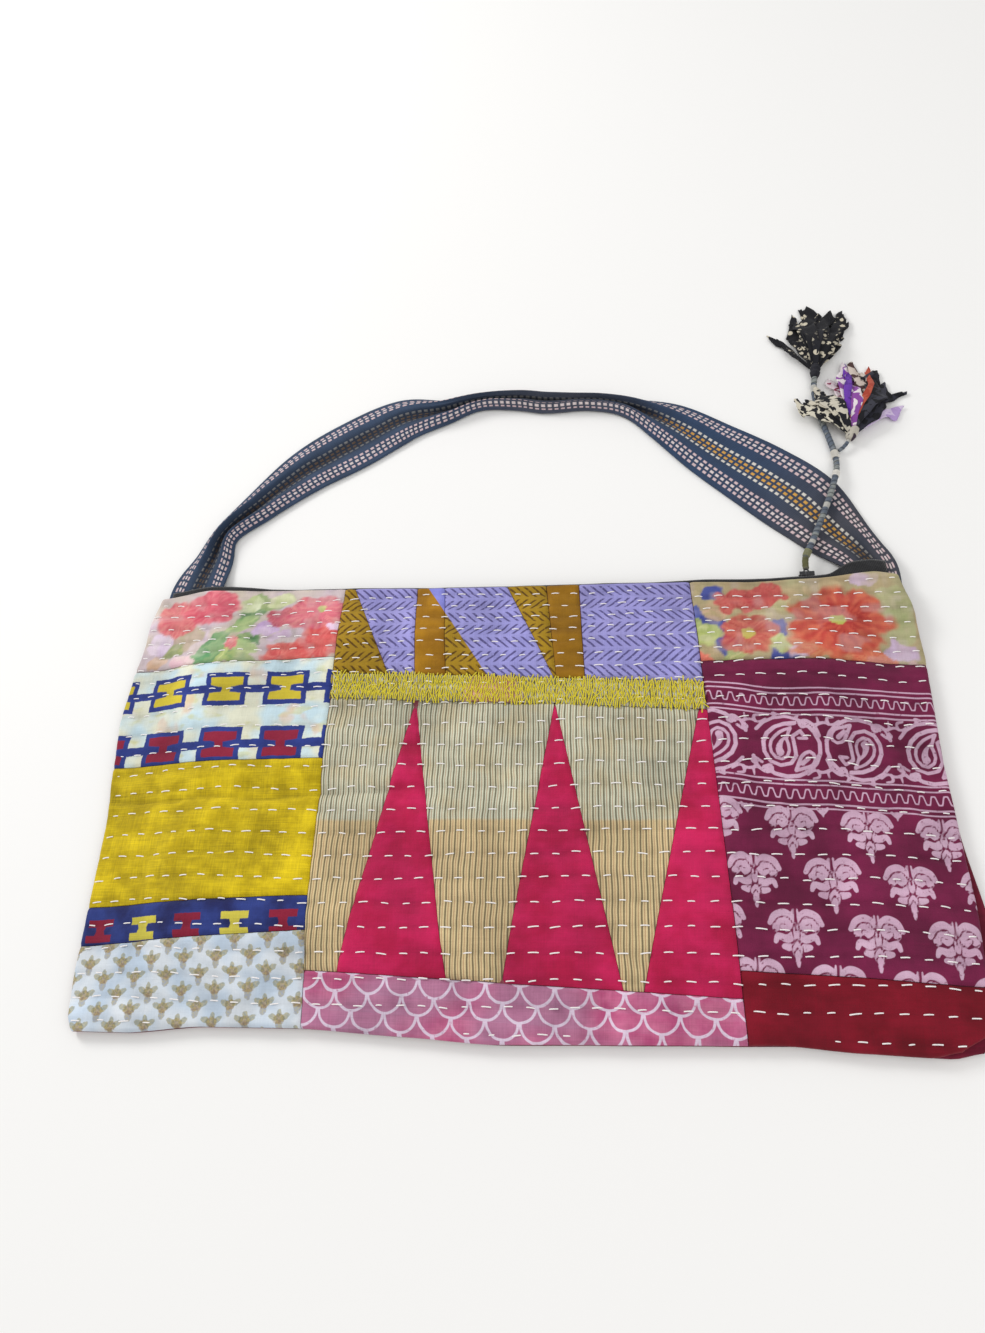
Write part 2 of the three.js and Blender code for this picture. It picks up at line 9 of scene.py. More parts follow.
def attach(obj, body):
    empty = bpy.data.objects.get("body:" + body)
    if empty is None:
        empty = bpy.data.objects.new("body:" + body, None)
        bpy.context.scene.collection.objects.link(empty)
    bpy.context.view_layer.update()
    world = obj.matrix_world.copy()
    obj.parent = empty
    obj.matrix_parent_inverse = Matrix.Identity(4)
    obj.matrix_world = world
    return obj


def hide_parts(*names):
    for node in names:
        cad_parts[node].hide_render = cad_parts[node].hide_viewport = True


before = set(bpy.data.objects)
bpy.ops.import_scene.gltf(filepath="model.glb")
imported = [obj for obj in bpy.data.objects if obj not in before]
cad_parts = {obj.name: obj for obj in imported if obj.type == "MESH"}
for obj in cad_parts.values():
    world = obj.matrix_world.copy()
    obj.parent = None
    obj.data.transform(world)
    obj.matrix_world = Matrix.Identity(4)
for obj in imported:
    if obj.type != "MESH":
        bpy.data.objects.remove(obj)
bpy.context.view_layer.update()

turn = 2 * math.pi

# The bag is worked out in millimetres with y measured from its bottom seam, and meshes are made in metres
# with y measured from the middle of its back.
bag = {
    "width": 420, "height": 246, "backQuilt": 2.4, "frontQuilt": 1.5, "patchCloth": 0.9, "gap": 0.3,
    "inside": 10.2, "sideBulge": 11, "seamWave": 4.5, "backOverhang": 9,
    "sideShoulder": 62, "footShoulder": 58, "mouthShoulder": 40,
    "foldDepth": 1.6, "foldHalf": 7, "ripple": 0.7,
    "tapeCloth": 0.7, "tapeDepth": 13, "tapeShow": 9, "chainThick": 1.8, "chainProud": 0.6,
    "strapCloth": 1.2, "seamGather": 2, "strapEnd": 0.17, "strapEndFlat": 0.6,
}
sides = {
    "up": [0, 0.03, 0.12, 0.25, 0.42, 0.56, 0.68, 0.8, 0.9, 1],
    "left": [0, 0.25, 0.42, 0.46, 0.52, 0.84, 1.05, 0.88, 0.42, 0],
    "right": [-0.35, 0.65, 1.02, 1.1, 0.9, 0.74, 0.73, 0.72, 0.52, 0],
}
ends = {
    "across": [0, 0.07, 0.16, 0.28, 0.4, 0.5, 0.62, 0.74, 0.82, 0.9, 0.97, 1],
    "bottom": [0, 0.02, 0.86, 0.98, 0.45, -0.05, 0.24, 0.5, 0.7, 0.2, 0, 0.6],
    "mouth": [-0.4, 0.66, 0.36, 0.22, -0.16, -0.32, -0.4, -0.6, -0.92, -0.76, -0.1, -0.6],
}
tapeEdge = {
    "across": [0, 0.1, 0.2, 0.68, 0.78, 0.915, 0.945, 1],
    "show": [0.5, 0.42, 0.14, 0.14, 0.3, 0.3, 0.95, 1],
}


def mix(a, b, share):
    return a + (b - a) * share


def ramp(value, low, high):
    share = np.clip((value - low) / (high - low), 0, 1)
    return share * share * (3 - 2 * share)


# A smooth value between the rows of a table
def along(table, key, column, at):
    keys, values = np.asarray(table[key], float), np.asarray(table[column], float)
    i = np.clip(np.searchsorted(keys, at, side="left") - 1, 0, len(keys) - 2)
    share = np.clip((at - keys[i]) / (keys[i + 1] - keys[i]), 0, 1)
    return mix(values[i], values[i + 1], 0.5 * share + 0.5 * ramp(share, 0, 1))


# A smooth random field from -1 to 1, with one value for each cell of the given size
def cloud(x, y, size, seed):
    u, v = x / size + seed * 17.31, y / size + seed * 5.77
    i, j = np.floor(u), np.floor(v)
    fu, fv = ramp(u - i, 0, 1), ramp(v - j, 0, 1)

    def corner(a, b):
        spun = np.sin(a * 127.1 + b * 311.7 + seed * 74.7) * 43758.5453
        return (spun - np.floor(spun)) * 2 - 1

    return mix(mix(corner(i, j), corner(i + 1, j), fu), mix(corner(i, j + 1), corner(i + 1, j + 1), fu), fv)


def panelSides(up, overhang=0.0):
    left = -bag["width"] / 2 - bag["sideBulge"] * along(sides, "up", "left", up)
    right = bag["width"] / 2 + bag["sideBulge"] * along(sides, "up", "right", up)
    return left, right + overhang * (1 - ramp(up, 0, 0.5))


def panelEnds(across):
    bottom = bag["seamWave"] * along(ends, "across", "bottom", across)
    return bottom, bag["height"] + bag["seamWave"] * along(ends, "across", "mouth", across)


# A point of a panel's outline grid, from the share across and the share up
def panelPoint(across, up, overhang=0.0):
    left, right = panelSides(up, overhang)
    bottom, mouth = panelEnds(across)
    return np.stack([mix(left, right, across), mix(bottom, mouth, up)], -1)


# The share across and the share up of a point of the front
def shareOf(x, y):
    across, up = x / bag["width"] + 0.5, y / bag["height"]
    for _ in range(14):
        left, right = panelSides(up)
        across = (x - left) / (right - left)
        bottom, mouth = panelEnds(across)
        up = (y - bottom) / (mouth - bottom)
    return across, up


strapSeam = bag["strapCloth"] * bag["seamGather"]
seamTop = bag["backQuilt"] + bag["gap"] + bag["frontQuilt"]
mouthLayers = seamTop + 3 * bag["gap"] + 2 * bag["tapeCloth"]
loftTop = bag["backQuilt"] + bag["inside"] + bag["frontQuilt"] + bag["gap"]


def overStrap(across):
    return 1 - ramp(np.minimum(across, 1 - across), bag["strapEnd"] * bag["strapEndFlat"], bag["strapEnd"])


def mouthTop(across):
    return mouthLayers + mix(bag["chainThick"], strapSeam, overStrap(across))


# Height of the front quilt's outer face
def frontTop(across, up):
    edge = mix(seamTop, mouthTop(across), ramp(up, 0.82, 0.94))
    fromSide = np.minimum(across, 1 - across) * bag["width"]
    rise = ramp(fromSide, 0, bag["sideShoulder"]) * ramp(up * bag["height"], 0, bag["footShoulder"])
    rise = rise * ramp((1 - up) * bag["height"], 0, bag["mouthShoulder"])
    fold = bag["foldDepth"] * np.exp(-(((up - 0.475) * bag["height"] / bag["foldHalf"]) ** 2))
    waves = bag["ripple"] * np.sin(across * 19 + up * 5) * np.cos(up * 13 - across * 4)
    return edge + rise * (loftTop - edge - fold * (1 - ramp(across, 0.3, 0.9)) + waves)


# Kantha rows: lines of running stitch across the whole front, closer together near the mouth
kantha = {
    "spacing": 11.8, "firstRow": 0.35, "tighterFrom": 182, "tighter": 0.036,
    "sway": 1.7, "swaySize": 48, "wobble": 0.6, "wobbleSize": 15,
    "furrow": 0.6, "furrowHalf": 1.6, "pucker": 0.62, "puckerSize": 5.6, "puckerReach": 4.2,
    "fine": 0.1, "fineSize": 2.6, "billow": 0.8, "billowSize": 27, "smallBillow": 12,
    "pitch": 10.3, "stitch": 4.3, "thread": 0.33, "lift": 0.12,
    "crease": 1.3, "creaseHalf": 1.3, "creaseHeight": 117.5, "creaseFrom": -66, "creaseTo": -40,
}


def rowSway(x, y, seed=3):
    slow = kantha["sway"] * cloud(x, y * 0.55, kantha["swaySize"], seed)
    return slow + kantha["wobble"] * cloud(x, y, kantha["wobbleSize"], seed + 1)


def rowPhase(x, y):
    level = y + rowSway(x, y)
    tighter = kantha["tighter"] * np.maximum(0, level - kantha["tighterFrom"])
    return level / kantha["spacing"] + tighter - kantha["firstRow"]


# Height that the stitching gives the cloth: furrows at the rows, puckers across them and soft billows
def quiltRelief(x, y, seed=11):
    phase = rowPhase(x, y)
    away = (phase - np.round(phase)) * kantha["spacing"]
    furrow = np.exp(-((away / kantha["furrowHalf"]) ** 2))
    near = 0.35 + 0.65 * np.exp(-((away / kantha["puckerReach"]) ** 2))
    pucker = cloud(x + 0.5 * away, y * 0.42, kantha["puckerSize"], seed) * near
    fine = kantha["fine"] * cloud(x, y * 0.6, kantha["fineSize"], seed + 2)
    billow = cloud(x, y, kantha["billowSize"], seed + 4)
    billow = kantha["billow"] * (billow + 0.5 * cloud(x, y, kantha["smallBillow"], seed + 6))
    pressed = y - kantha["creaseHeight"] - 1.5 * cloud(x, y * 0, 30, 91) - 0.04 * np.maximum(0, x + 130)
    crease = kantha["crease"] * np.exp(-((pressed / kantha["creaseHalf"]) ** 2))
    crease = crease * (1 - ramp(x, kantha["creaseFrom"], kantha["creaseTo"]))
    return kantha["pucker"] * pucker + fine + billow - kantha["furrow"] * furrow - crease


# Colour from the six digits of a screen colour
def tint(code, alpha=1.0):
    levels = [int(code[i:i + 2], 16) / 255 for i in (0, 2, 4)]
    return tuple(v / 12.92 if v <= 0.04045 else ((v + 0.055) / 1.055) ** 2.4 for v in levels) + (alpha,)


# One output socket of a node; arithmetic on it adds Math nodes
class Wire:
    def __init__(self, net, socket):
        self.net, self.socket = net, socket

    def math(self, operation, *values):
        return self.net.node("ShaderNodeMath", {"operation": operation}, dict(enumerate(values)))

    def __add__(self, other):
        return self.math("ADD", self, other)

    def __sub__(self, other):
        return self.math("SUBTRACT", self, other)

    def __rsub__(self, other):
        return self.math("SUBTRACT", other, self)

    def __mul__(self, other):
        return self.math("MULTIPLY", self, other)

    def __truediv__(self, other):
        return self.math("DIVIDE", self, other)

    def __neg__(self):
        return self * -1

    def __abs__(self):
        return self.math("ABSOLUTE", self)

    __radd__ = __add__
    __rmul__ = __mul__

    def fract(self):
        return self.math("FRACT", self)

    def floor(self):
        return self.math("FLOOR", self)

    def sine(self):
        return self.math("SINE", self)

    def root(self):
        return self.math("SQRT", self)

    def most(self, other):
        return self.math("MAXIMUM", self, other)

    # Offset from the middle of the nearest repeat
    def repeat(self, pitch, shift=0.0):
        return ((self / pitch + (shift + 0.5)).fract() - 0.5) * pitch

    # 1 where this is under the limit, 0 past it, soft over the blur
    def under(self, limit, blur=0.15):
        return self.net.node("ShaderNodeMapRange", {"interpolation_type": "SMOOTHSTEP"},
                             {0: self, 1: limit - blur, 2: limit + blur, 3: 1.0, 4: 0.0})

    def over(self, limit, blur=0.15):
        return self.net.node("ShaderNodeMapRange", {"interpolation_type": "SMOOTHSTEP"},
                             {0: self, 1: limit - blur, 2: limit + blur, 3: 0.0, 4: 1.0})


# A node tree under construction, of a material or of Geometry Nodes
class Net:
    def __init__(self, tree):
        self.tree = tree

    def node(self, kind, settings=None, inputs=None, output=0):
        made = self.tree.nodes.new(kind)
        for key, value in (settings or {}).items():
            if key == "stops":
                for stop, (place, colour) in zip(made.color_ramp.elements, value):
                    stop.position, stop.color = place, colour
                for place, colour in value[2:]:
                    made.color_ramp.elements.new(place).color = colour
            else:
                setattr(made, key, value)
        for key, value in (inputs or {}).items():
            if isinstance(value, Wire):
                self.tree.links.new(value.socket, made.inputs[key])
            else:
                made.inputs[key].default_value = value
        return Wire(self, made.outputs[output]) if len(made.outputs) else None

    def blend(self, share, first, second, how="MIX"):
        return self.node("ShaderNodeMix", {"data_type": "RGBA", "blend_type": how},
                         {0: share, 6: first, 7: second}, 2)

    def noise(self, place, scale, detail=2.0, rough=0.5, lean=0.0):
        return self.node("ShaderNodeTexNoise", {},
                         {"Vector": place, "Scale": scale, "Detail": detail, "Roughness": rough,
                          "Distortion": lean})

    def joined(self, x, y, z=0.0):
        return self.node("ShaderNodeCombineXYZ", {}, {0: x, 1: y, 2: z})

    # Two tones in soft spots
    def toned(self, x, y, scale, detail, first, second):
        return self.blend(self.noise(self.joined(x, y), scale, detail), first, second)

    # Spots of the second colour where a noise passes the limit
    def mottled(self, x, y, scale, detail, limit, blur, first, second, share=1.0):
        spots = self.noise(self.joined(x, y), scale, detail).over(limit, blur)
        return self.blend(spots * share, first, second)

    def named(self, name, output="Fac"):
        return self.node("ShaderNodeAttribute", {"attribute_name": name}, {}, output)


# Everyday woven cloth: threads, slubs, blotches and painted shade from the quilt relief over the colour,
# threads and creases in the bump
weave = {
    "thread": 0.62, "threadBump": 0.035, "slub": 0.18, "blotch": 0.14, "crease": 0.5, "rough": 0.86,
    "sheen": 0.05, "hollow": 0.2, "specular": 0.25, "map": False,
}


def clothMaterial(name, paint, **changes):
    want = {**weave, **changes}
    material = bpy.data.materials.new(name)
    material.use_nodes = True
    material.node_tree.nodes.clear()
    net = Net(material.node_tree)
    if want["map"]:
        place, lift = net.node("ShaderNodeUVMap", {"uv_map": "cloth"}), 0.0
    else:
        place, lift = net.node("ShaderNodeTexCoord", {}, {}, "Object"), bag["height"] / 2
    parts = net.node("ShaderNodeSeparateXYZ", {}, {0: place}).socket.node.outputs
    x, y = Wire(net, parts[0]) * 1000, Wire(net, parts[1]) * 1000 + lift
    flat = net.joined(x, y)
    slubs = net.noise(net.joined(x * 0.06, y * 1.7), 1.0, 3.0)
    slubs = slubs + net.noise(net.joined(x * 1.9, y * 0.07), 1.0, 3.0) - 1.0
    blotches = net.noise(flat, 0.055, 3.0, 0.6) - 0.5
    threads = (x * (turn / want["thread"])).sine() * (y * (turn / want["thread"])).sine()
    painted = paint(net, x, y)
    colour, relief = painted if isinstance(painted, tuple) else (painted, 0.0)
    # Painted shade: the quilt relief stored on the mesh darkens the colour in the stitch furrows and lightens
    # it on raised puckers
    hollow = net.named("hollow") * want["hollow"]
    shade = 1 + slubs * want["slub"] * 2 + blotches * want["blotch"] * 2 + threads * 0.03 + hollow
    colour = net.node("ShaderNodeVectorMath", {"operation": "SCALE"}, {0: colour, "Scale": shade})
    creases = net.noise(flat, 0.32, 3.0, 0.55, 0.4)
    height = threads * want["threadBump"] + slubs * 0.09 + creases * want["crease"] + relief
    normal = net.node("ShaderNodeBump", {}, {"Strength": 0.8, "Distance": 0.001, "Height": height}, "Normal")
    rough = want["rough"] + slubs * 0.12
    shader = net.node("ShaderNodeBsdfPrincipled", {}, {
        "Base Color": colour, "Roughness": rough, "Normal": normal,
        "Specular IOR Level": want["specular"],
        "Sheen Weight": want["sheen"], "Sheen Roughness": 0.5,
    })
    net.node("ShaderNodeOutputMaterial", {}, {"Surface": shader})
    return material


def frameMetres(points):
    moved = np.array(points, float).reshape(-1, 3)
    moved[:, 1] -= bag["height"] / 2
    return moved / 1000


def meshObject(name, points, faces, material=None):
    mesh = bpy.data.meshes.new(name)
    mesh.from_pydata(frameMetres(points).tolist(), [], faces)
    mesh.update()
    mesh.polygons.foreach_set("use_smooth", [True] * len(mesh.polygons))
    made = bpy.data.objects.new(name, mesh)
    bpy.context.scene.collection.objects.link(made)
    if material:
        mesh.materials.append(material)
    return made


def addUv(piece, spots):
    mesh = piece.data
    loops = np.zeros(len(mesh.loops), np.int32)
    mesh.loops.foreach_get("vertex_index", loops)
    mesh.uv_layers.new(name="cloth").data.foreach_set("uv", (spots[loops] / 1000).ravel())


# Faces of a closed sheet: its top grid, its foot grid and the wall between their rims
def sheetFaces(rows, columns):
    layer = rows * columns
    j, i = np.meshgrid(np.arange(rows - 1), np.arange(columns - 1), indexing="ij")
    a = (j * columns + i).ravel()
    top = np.stack([a, a + 1, a + columns + 1, a + columns], 1)
    foot = np.stack([a, a + columns, a + columns + 1, a + 1], 1) + layer
    rim = np.concatenate([
        np.arange(columns - 1), np.arange(rows - 1) * columns + columns - 1,
        layer - 1 - np.arange(columns - 1), (rows - 1 - np.arange(rows - 1)) * columns,
    ])
    after = np.roll(rim, -1)
    wall = np.stack([rim + layer, after + layer, after, rim], 1)
    return np.concatenate([top, foot, wall])


# A closed sheet between two grids of points, each of shape rows, columns, 3
def sheetObject(name, upper, lower, material, uv=None, colours=None, values=None):
    rows, columns = upper.shape[:2]
    layer = rows * columns
    points = np.concatenate([upper.reshape(-1, 3), lower.reshape(-1, 3)])
    made = meshObject(name, points, sheetFaces(rows, columns).tolist(), material)
    mesh = made.data
    if uv is not None:
        addUv(made, np.tile(uv.reshape(-1, 2), (2, 1)))
    if colours is not None:
        layerData = mesh.color_attributes.new("print", "FLOAT_COLOR", "POINT")
        full = np.concatenate([colours.reshape(-1, 3), np.ones((layer, 1))], 1)
        layerData.data.foreach_set("color", np.tile(full, (2, 1)).astype(np.float32).ravel())
    for key, field in (values or {}).items():
        attribute = mesh.attributes.new(key, "FLOAT", "POINT")
        attribute.data.foreach_set("value", np.tile(field.ravel(), 2).astype(np.float32))
    return made


def ready(piece, slot, *nodes):
    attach(piece, "root")
    if nodes:
        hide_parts(*nodes)
    return piece


# Distance walked along a path, at each of its points
def walkedAlong(points):
    return np.concatenate([[0], np.cumsum(np.linalg.norm(np.diff(points, axis=0), axis=1))])


# A smooth centripetal curve through points, cut into even steps
def smoothPath(points, steps):
    points = np.asarray(points, float)
    full = np.vstack([2 * points[0] - points[1], points, 2 * points[-1] - points[-2]])
    line = []
    for p0, p1, p2, p3 in zip(full, full[1:], full[2:], full[3:]):
        d0, d1, d2 = (max(np.linalg.norm(b - a), 1e-6) ** 0.5 for a, b in ((p0, p1), (p1, p2), (p2, p3)))
        out = ((p1 - p0) / d0 - (p2 - p0) / (d0 + d1) + (p2 - p1) / d1) * d1
        into = ((p2 - p1) / d1 - (p3 - p1) / (d1 + d2) + (p3 - p2) / d2) * d1
        t = np.linspace(0, 1, 40, endpoint=False)[:, None]
        square, cube = 3 * (p2 - p1) - 2 * out - into, 2 * (p1 - p2) + out + into
        line.append(p1 + out * t + square * t**2 + cube * t**3)
    line = np.vstack([*line, points[-1:]])
    walked = walkedAlong(line)
    even = np.linspace(0, walked[-1], steps + 1)
    return np.stack([np.interp(even, walked, line[:, k]) for k in range(line.shape[1])], 1)


def pathLength(points):
    return float(walkedAlong(points)[-1])


# Camera: where the photograph was taken from
cameraSpot = {
    "x": 73.434, "y": -54.372, "z": 488.133, "down": 61.461, "roll": -17.497, "yaw": -18.142,
    "focalPixels": 1000, "longSide": 1333, "sensor": 36,
}


def placeCamera():
    down, roll, yaw = (math.radians(cameraSpot[k]) for k in ("down", "roll", "yaw"))
    ahead = Vector((math.sin(yaw) * math.cos(down), math.cos(yaw) * math.cos(down), -math.sin(down)))
    level = Vector((math.cos(yaw), -math.sin(yaw), 0))
    upward = level.cross(ahead)
    right = level * math.cos(roll) + upward * math.sin(roll)
    top = upward * math.cos(roll) - level * math.sin(roll)
    data = bpy.data.cameras.new("camera")
    data.sensor_fit = "AUTO"
    data.sensor_width = cameraSpot["sensor"]
    data.lens = cameraSpot["focalPixels"] * cameraSpot["sensor"] / cameraSpot["longSide"]
    data.clip_start, data.clip_end = 0.01, 20
    camera = bpy.data.objects.new("camera", data)
    turned = Matrix((right, top, -ahead)).transposed().to_4x4()
    place = Vector((cameraSpot["x"], cameraSpot["y"] - bag["height"] / 2, cameraSpot["z"])) / 1000
    camera.matrix_world = Matrix.Translation(place) @ turned
    bpy.context.scene.collection.objects.link(camera)
    bpy.context.scene.camera = camera


placeCamera()
print("camera placed")

# The pull's cord from the slider over the strap to the upper tassel, and its branch to the lower one
cord = {"thick": 3.5, "branchThick": 2.2, "steps": 240, "sides": 14, "wrapPitch": 2.6, "wrapDepth": 0.07,
        "knotSides": 6, "knotSteps": 16, "knotLift": 0.12}
cordRoute = [
    [163.4, 251.3, 4.6], [163.4, 254.5, 4.6], [163.8, 258, 4.6], [165.3, 262, 4.7], [168.4, 268.4, 5.2],
    [171.8, 276.5, 5.6], [175.4, 285, 5.2], [178.8, 293.5, 4.8], [181.9, 301.8, 4.6], [184.4, 309.5, 4.2],
    [186.6, 317, 3.4], [187.6, 325, 2.5], [187.2, 333, 2], [185.4, 343, 1.9], [183, 354.5, 1.8],
    [181.3, 365, 1.8], [180.5, 375, 1.8], [180.6, 383, 1.9], [181.6, 389.8, 2.6],
]
branchRoute = [[189.9, 333.4, 2.1], [192.4, 335.2, 2.3], [194.6, 337.6, 2.6], [196, 340, 3]]


# Two directions across a path, the first one level
def pathFrames(path):
    ahead = np.gradient(path, axis=0)
    ahead /= np.linalg.norm(ahead, axis=1, keepdims=True)
    side = np.cross(ahead, [0, 0, 1.0])
    side /= np.linalg.norm(side, axis=1, keepdims=True)
    return side, np.cross(side, ahead)


# Faces of a closed tube whose rings turn clockwise about its path
def tubeFaces(rings, count):
    faces = [tuple(range(count)), tuple(range(rings * count - 1, (rings - 1) * count - 1, -1))]
    for r in range(rings - 1):
        for k in range(count):
            a, b = r * count + k, r * count + (k + 1) % count
            faces.append((a, a + count, b + count, b))
    return faces


# A closed round tube; radius is one value for each path point and each of the sides
def tubeParts(path, radius):
    side, over = pathFrames(path)
    count = radius.shape[1]
    angle = np.arange(count) * turn / count
    ring = side[:, None] * np.cos(angle)[None, :, None] + over[:, None] * np.sin(angle)[None, :, None]
    points = (path[:, None] + ring * radius[:, :, None]).reshape(-1, 3)
    return points, tubeFaces(len(path), count)


def paintCord(net, x, y):
    wraps = ((x / 3.1 + y / 11.0) * turn).sine()
    patches = net.noise(net.joined(x * 0.16, y * 0.05), 1.0, 2.0)
    thread = ((x / 0.55 + y / 11.0) * turn).sine()
    cloth = net.blend(patches.over(0.52, 0.05), tint("5d6673"), tint("8b8f8c"))
    cloth = net.blend(wraps.over(0.72, 0.15) * 0.7, cloth, tint("35393f"))
    cloth = net.blend(x.under(7.5, 2.0), cloth, tint("5d5c3c"))
    bands = net.noise(net.joined(x * 0.11 + 3.7, 0.0), 1.0, 1.0).over(0.6, 0.02)
    return net.blend(bands * 0.75, cloth, tint("c9c6bd")), wraps * 0.16 + thread * 0.05


def makeCord():
    path = smoothPath(cordRoute, cord["steps"])
    walked = np.linspace(0, pathLength(path), len(path))
    angle = np.arange(cord["sides"]) * turn / cord["sides"]
    spiral = np.sin(walked[:, None] * turn / cord["wrapPitch"] + angle[None])
    lump = cloud(walked, walked * 0, 5, 2)[:, None] * 0.07
    radius = cord["thick"] / 2 * (1 + cord["wrapDepth"] * 0.5 * spiral + lump - 0.02)
    material = clothMaterial("cordWrap", paintCord, map=True, crease=0.15, slub=0.25)
    points, faces = tubeParts(path, radius)
    points[:, 2] = np.maximum(points[:, 2], 0.06)
    piece = meshObject("pull_cord_wrapped", points, faces, material)
    spots = np.stack([np.repeat(walked, cord["sides"]), np.tile(angle * cord["thick"] / 2, len(path))], 1)
    addUv(piece, spots)
    branchPath = smoothPath(branchRoute, 24)
    branchWalked = np.linspace(0, pathLength(branchPath), len(branchPath))
    thin = cord["branchThick"] / 2 * (1 + 0.06 * np.sin(branchWalked[:, None] * 2.6 + angle[None]))
    points, faces = tubeParts(branchPath, thin)
    branch = meshObject("pull_cord_branch_wrapped", points, faces, material)
    addUv(branch, np.stack([np.repeat(branchWalked + 60, cord["sides"]), np.tile(angle, len(branchPath))], 1))
    return piece, branch, path


# Thread wound round the cord where it forks and below the upper tassel
knots = {
    "knot_at_fork": {"from": 81.0, "to": 86.5, "radius": 0.33, "turns": 7, "color": "dcd8cf"},
    "knot_at_bend": {"from": 66.5, "to": 70.5, "radius": 0.33, "turns": 5, "color": "e8e4dc"},
    "binding_at_slider": {"from": 8.0, "to": 12.5, "radius": 0.28, "turns": 6, "color": "8a8a63"},
}


def threadMaterial(name, color, rough=0.75):
    def paint(net, x, y):
        tone = net.noise(net.joined(x, y), 0.9, 2.0)
        shade = tuple(v * 0.9 for v in tint(color)[:3]) + (1,)
        return net.blend(tone, shade, tint(color)), ((x + y * 0.7) * (turn / 0.7)).sine() * 0.05
    return clothMaterial(name, paint, slub=0.08, blotch=0.05, crease=0.05, rough=rough, sheen=0.3, hollow=0.0)


def makeKnot(name, spec, path):
    walked = walkedAlong(path)
    t = np.linspace(0, 1, spec["turns"] * cord["knotSteps"])
    at = mix(spec["from"], spec["to"], t)
    centre = np.stack([np.interp(at, walked, path[:, k]) for k in range(3)], 1)
    side, over = pathFrames(path)
    sideAt = np.stack([np.interp(at, walked, side[:, k]) for k in range(3)], 1)
    overAt = np.stack([np.interp(at, walked, over[:, k]) for k in range(3)], 1)
    angle = t * spec["turns"] * turn
    reach = cord["thick"] / 2 + cord["knotLift"]
    line = centre + reach * (sideAt * np.cos(angle)[:, None] + overAt * np.sin(angle)[:, None])
    line[:, 2] = np.maximum(line[:, 2], spec["radius"] + 0.05)
    ahead = np.gradient(line, axis=0)
    ahead /= np.linalg.norm(ahead, axis=1, keepdims=True)
    outward = line - centre
    outward /= np.linalg.norm(outward, axis=1, keepdims=True)
    cross = np.cross(outward, ahead)
    ring = np.arange(cord["knotSides"]) * turn / cord["knotSides"]
    circle = outward[:, None] * np.cos(ring)[None, :, None] + cross[:, None] * np.sin(ring)[None, :, None]
    points = (line[:, None] + circle * spec["radius"]).reshape(-1, 3)
    faces = tubeFaces(len(line), len(ring))
    return meshObject(name, points, faces, threadMaterial(name + "Thread", spec["color"]))


pullCord, pullBranch, cordPath = makeCord()
knotPieces = [makeKnot(name, spec, cordPath) for name, spec in knots.items()]
print("cord made,", round(pathLength(cordPath), 1), "mm long")

# Tassels: strips of printed cloth torn from scraps. Each row of a table is one bunch: its heading in degrees
# from +Y towards +X, its length, width and lift as shares of the sizes below, and its two colours.
tassel = {
    "length": 58, "strip": 9, "cloth": 0.55, "curl": 2.4, "segments": 26, "facets": 9,
    "overCord": 4.6, "overFloor": 0.25,
    "headRadius": 3.2, "headLength": 9, "headRings": 15, "headSides": 20,
}
upperBunches = [
    (-37, 0.78, 0.34, 0.3, "17171c", "2b2b33"), (-14, 0.72, 0.9, 0.6, "17171c", "1d1d24"),
    (-9, 0.8, 1.2, 0.3, "101015", "17171c"), (-4, 0.9, 0.8, 1.7, "1c1c22", "17171c"),
    (-1, 1.0, 1.3, 0.9, "141419", "0f0f14"), (4, 0.9, 1.1, 2.0, "17171c", "1f1f26"),
    (8, 0.98, 1.2, 0.4, "0f0f14", "1a1a20"), (12, 0.86, 0.8, 2.1, "1c1c22", "141419"),
    (16, 0.94, 1.2, 1.5, "141419", "17171c"), (25, 0.98, 1.1, 0.7, "17171c", "101015"),
    (30, 0.84, 0.8, 1.1, "1c1c22", "23232b"), (33, 0.72, 0.9, 0.2, "111116", "17171c"),
]
lowerBunches = [
    (-47, 0.74, 1.3, 0.8, "cfc8b6", "17171c"), (-36, 0.66, 0.9, 1.5, "17171c", "c6bfae"),
    (-28, 0.74, 1.0, 1.4, "c9c2b2", "1c1c22"), (-16, 0.72, 0.9, 1.4, "d2c6c4", "6d1f3a"),
    (-6, 0.84, 1.1, 1.6, "dccdd2", "8c2c4e"), (0, 1.0, 0.6, 2.4, "54268a", "6a38a6"),
    (4, 1.0, 1.0, 2.0, "e3d8dc", "8a4a9c"), (9, 0.92, 0.8, 1.5, "c9b9c4", "4a2440"),
    (14, 1.04, 1.2, 0.9, "cdbfb4", "4d3532"), (20, 1.0, 0.5, 2.2, "a8402e", "b75540"),
    (27, 0.96, 1.2, 1.6, "17171c", "3a3a44"), (34, 0.92, 1.2, 1.0, "121217", "20202a"),
    (42, 0.84, 1.2, 0.6, "15151b", "2a2a35"), (55, 0.68, 0.8, 0.2, "b79ad0", "d8c6e4"),
]


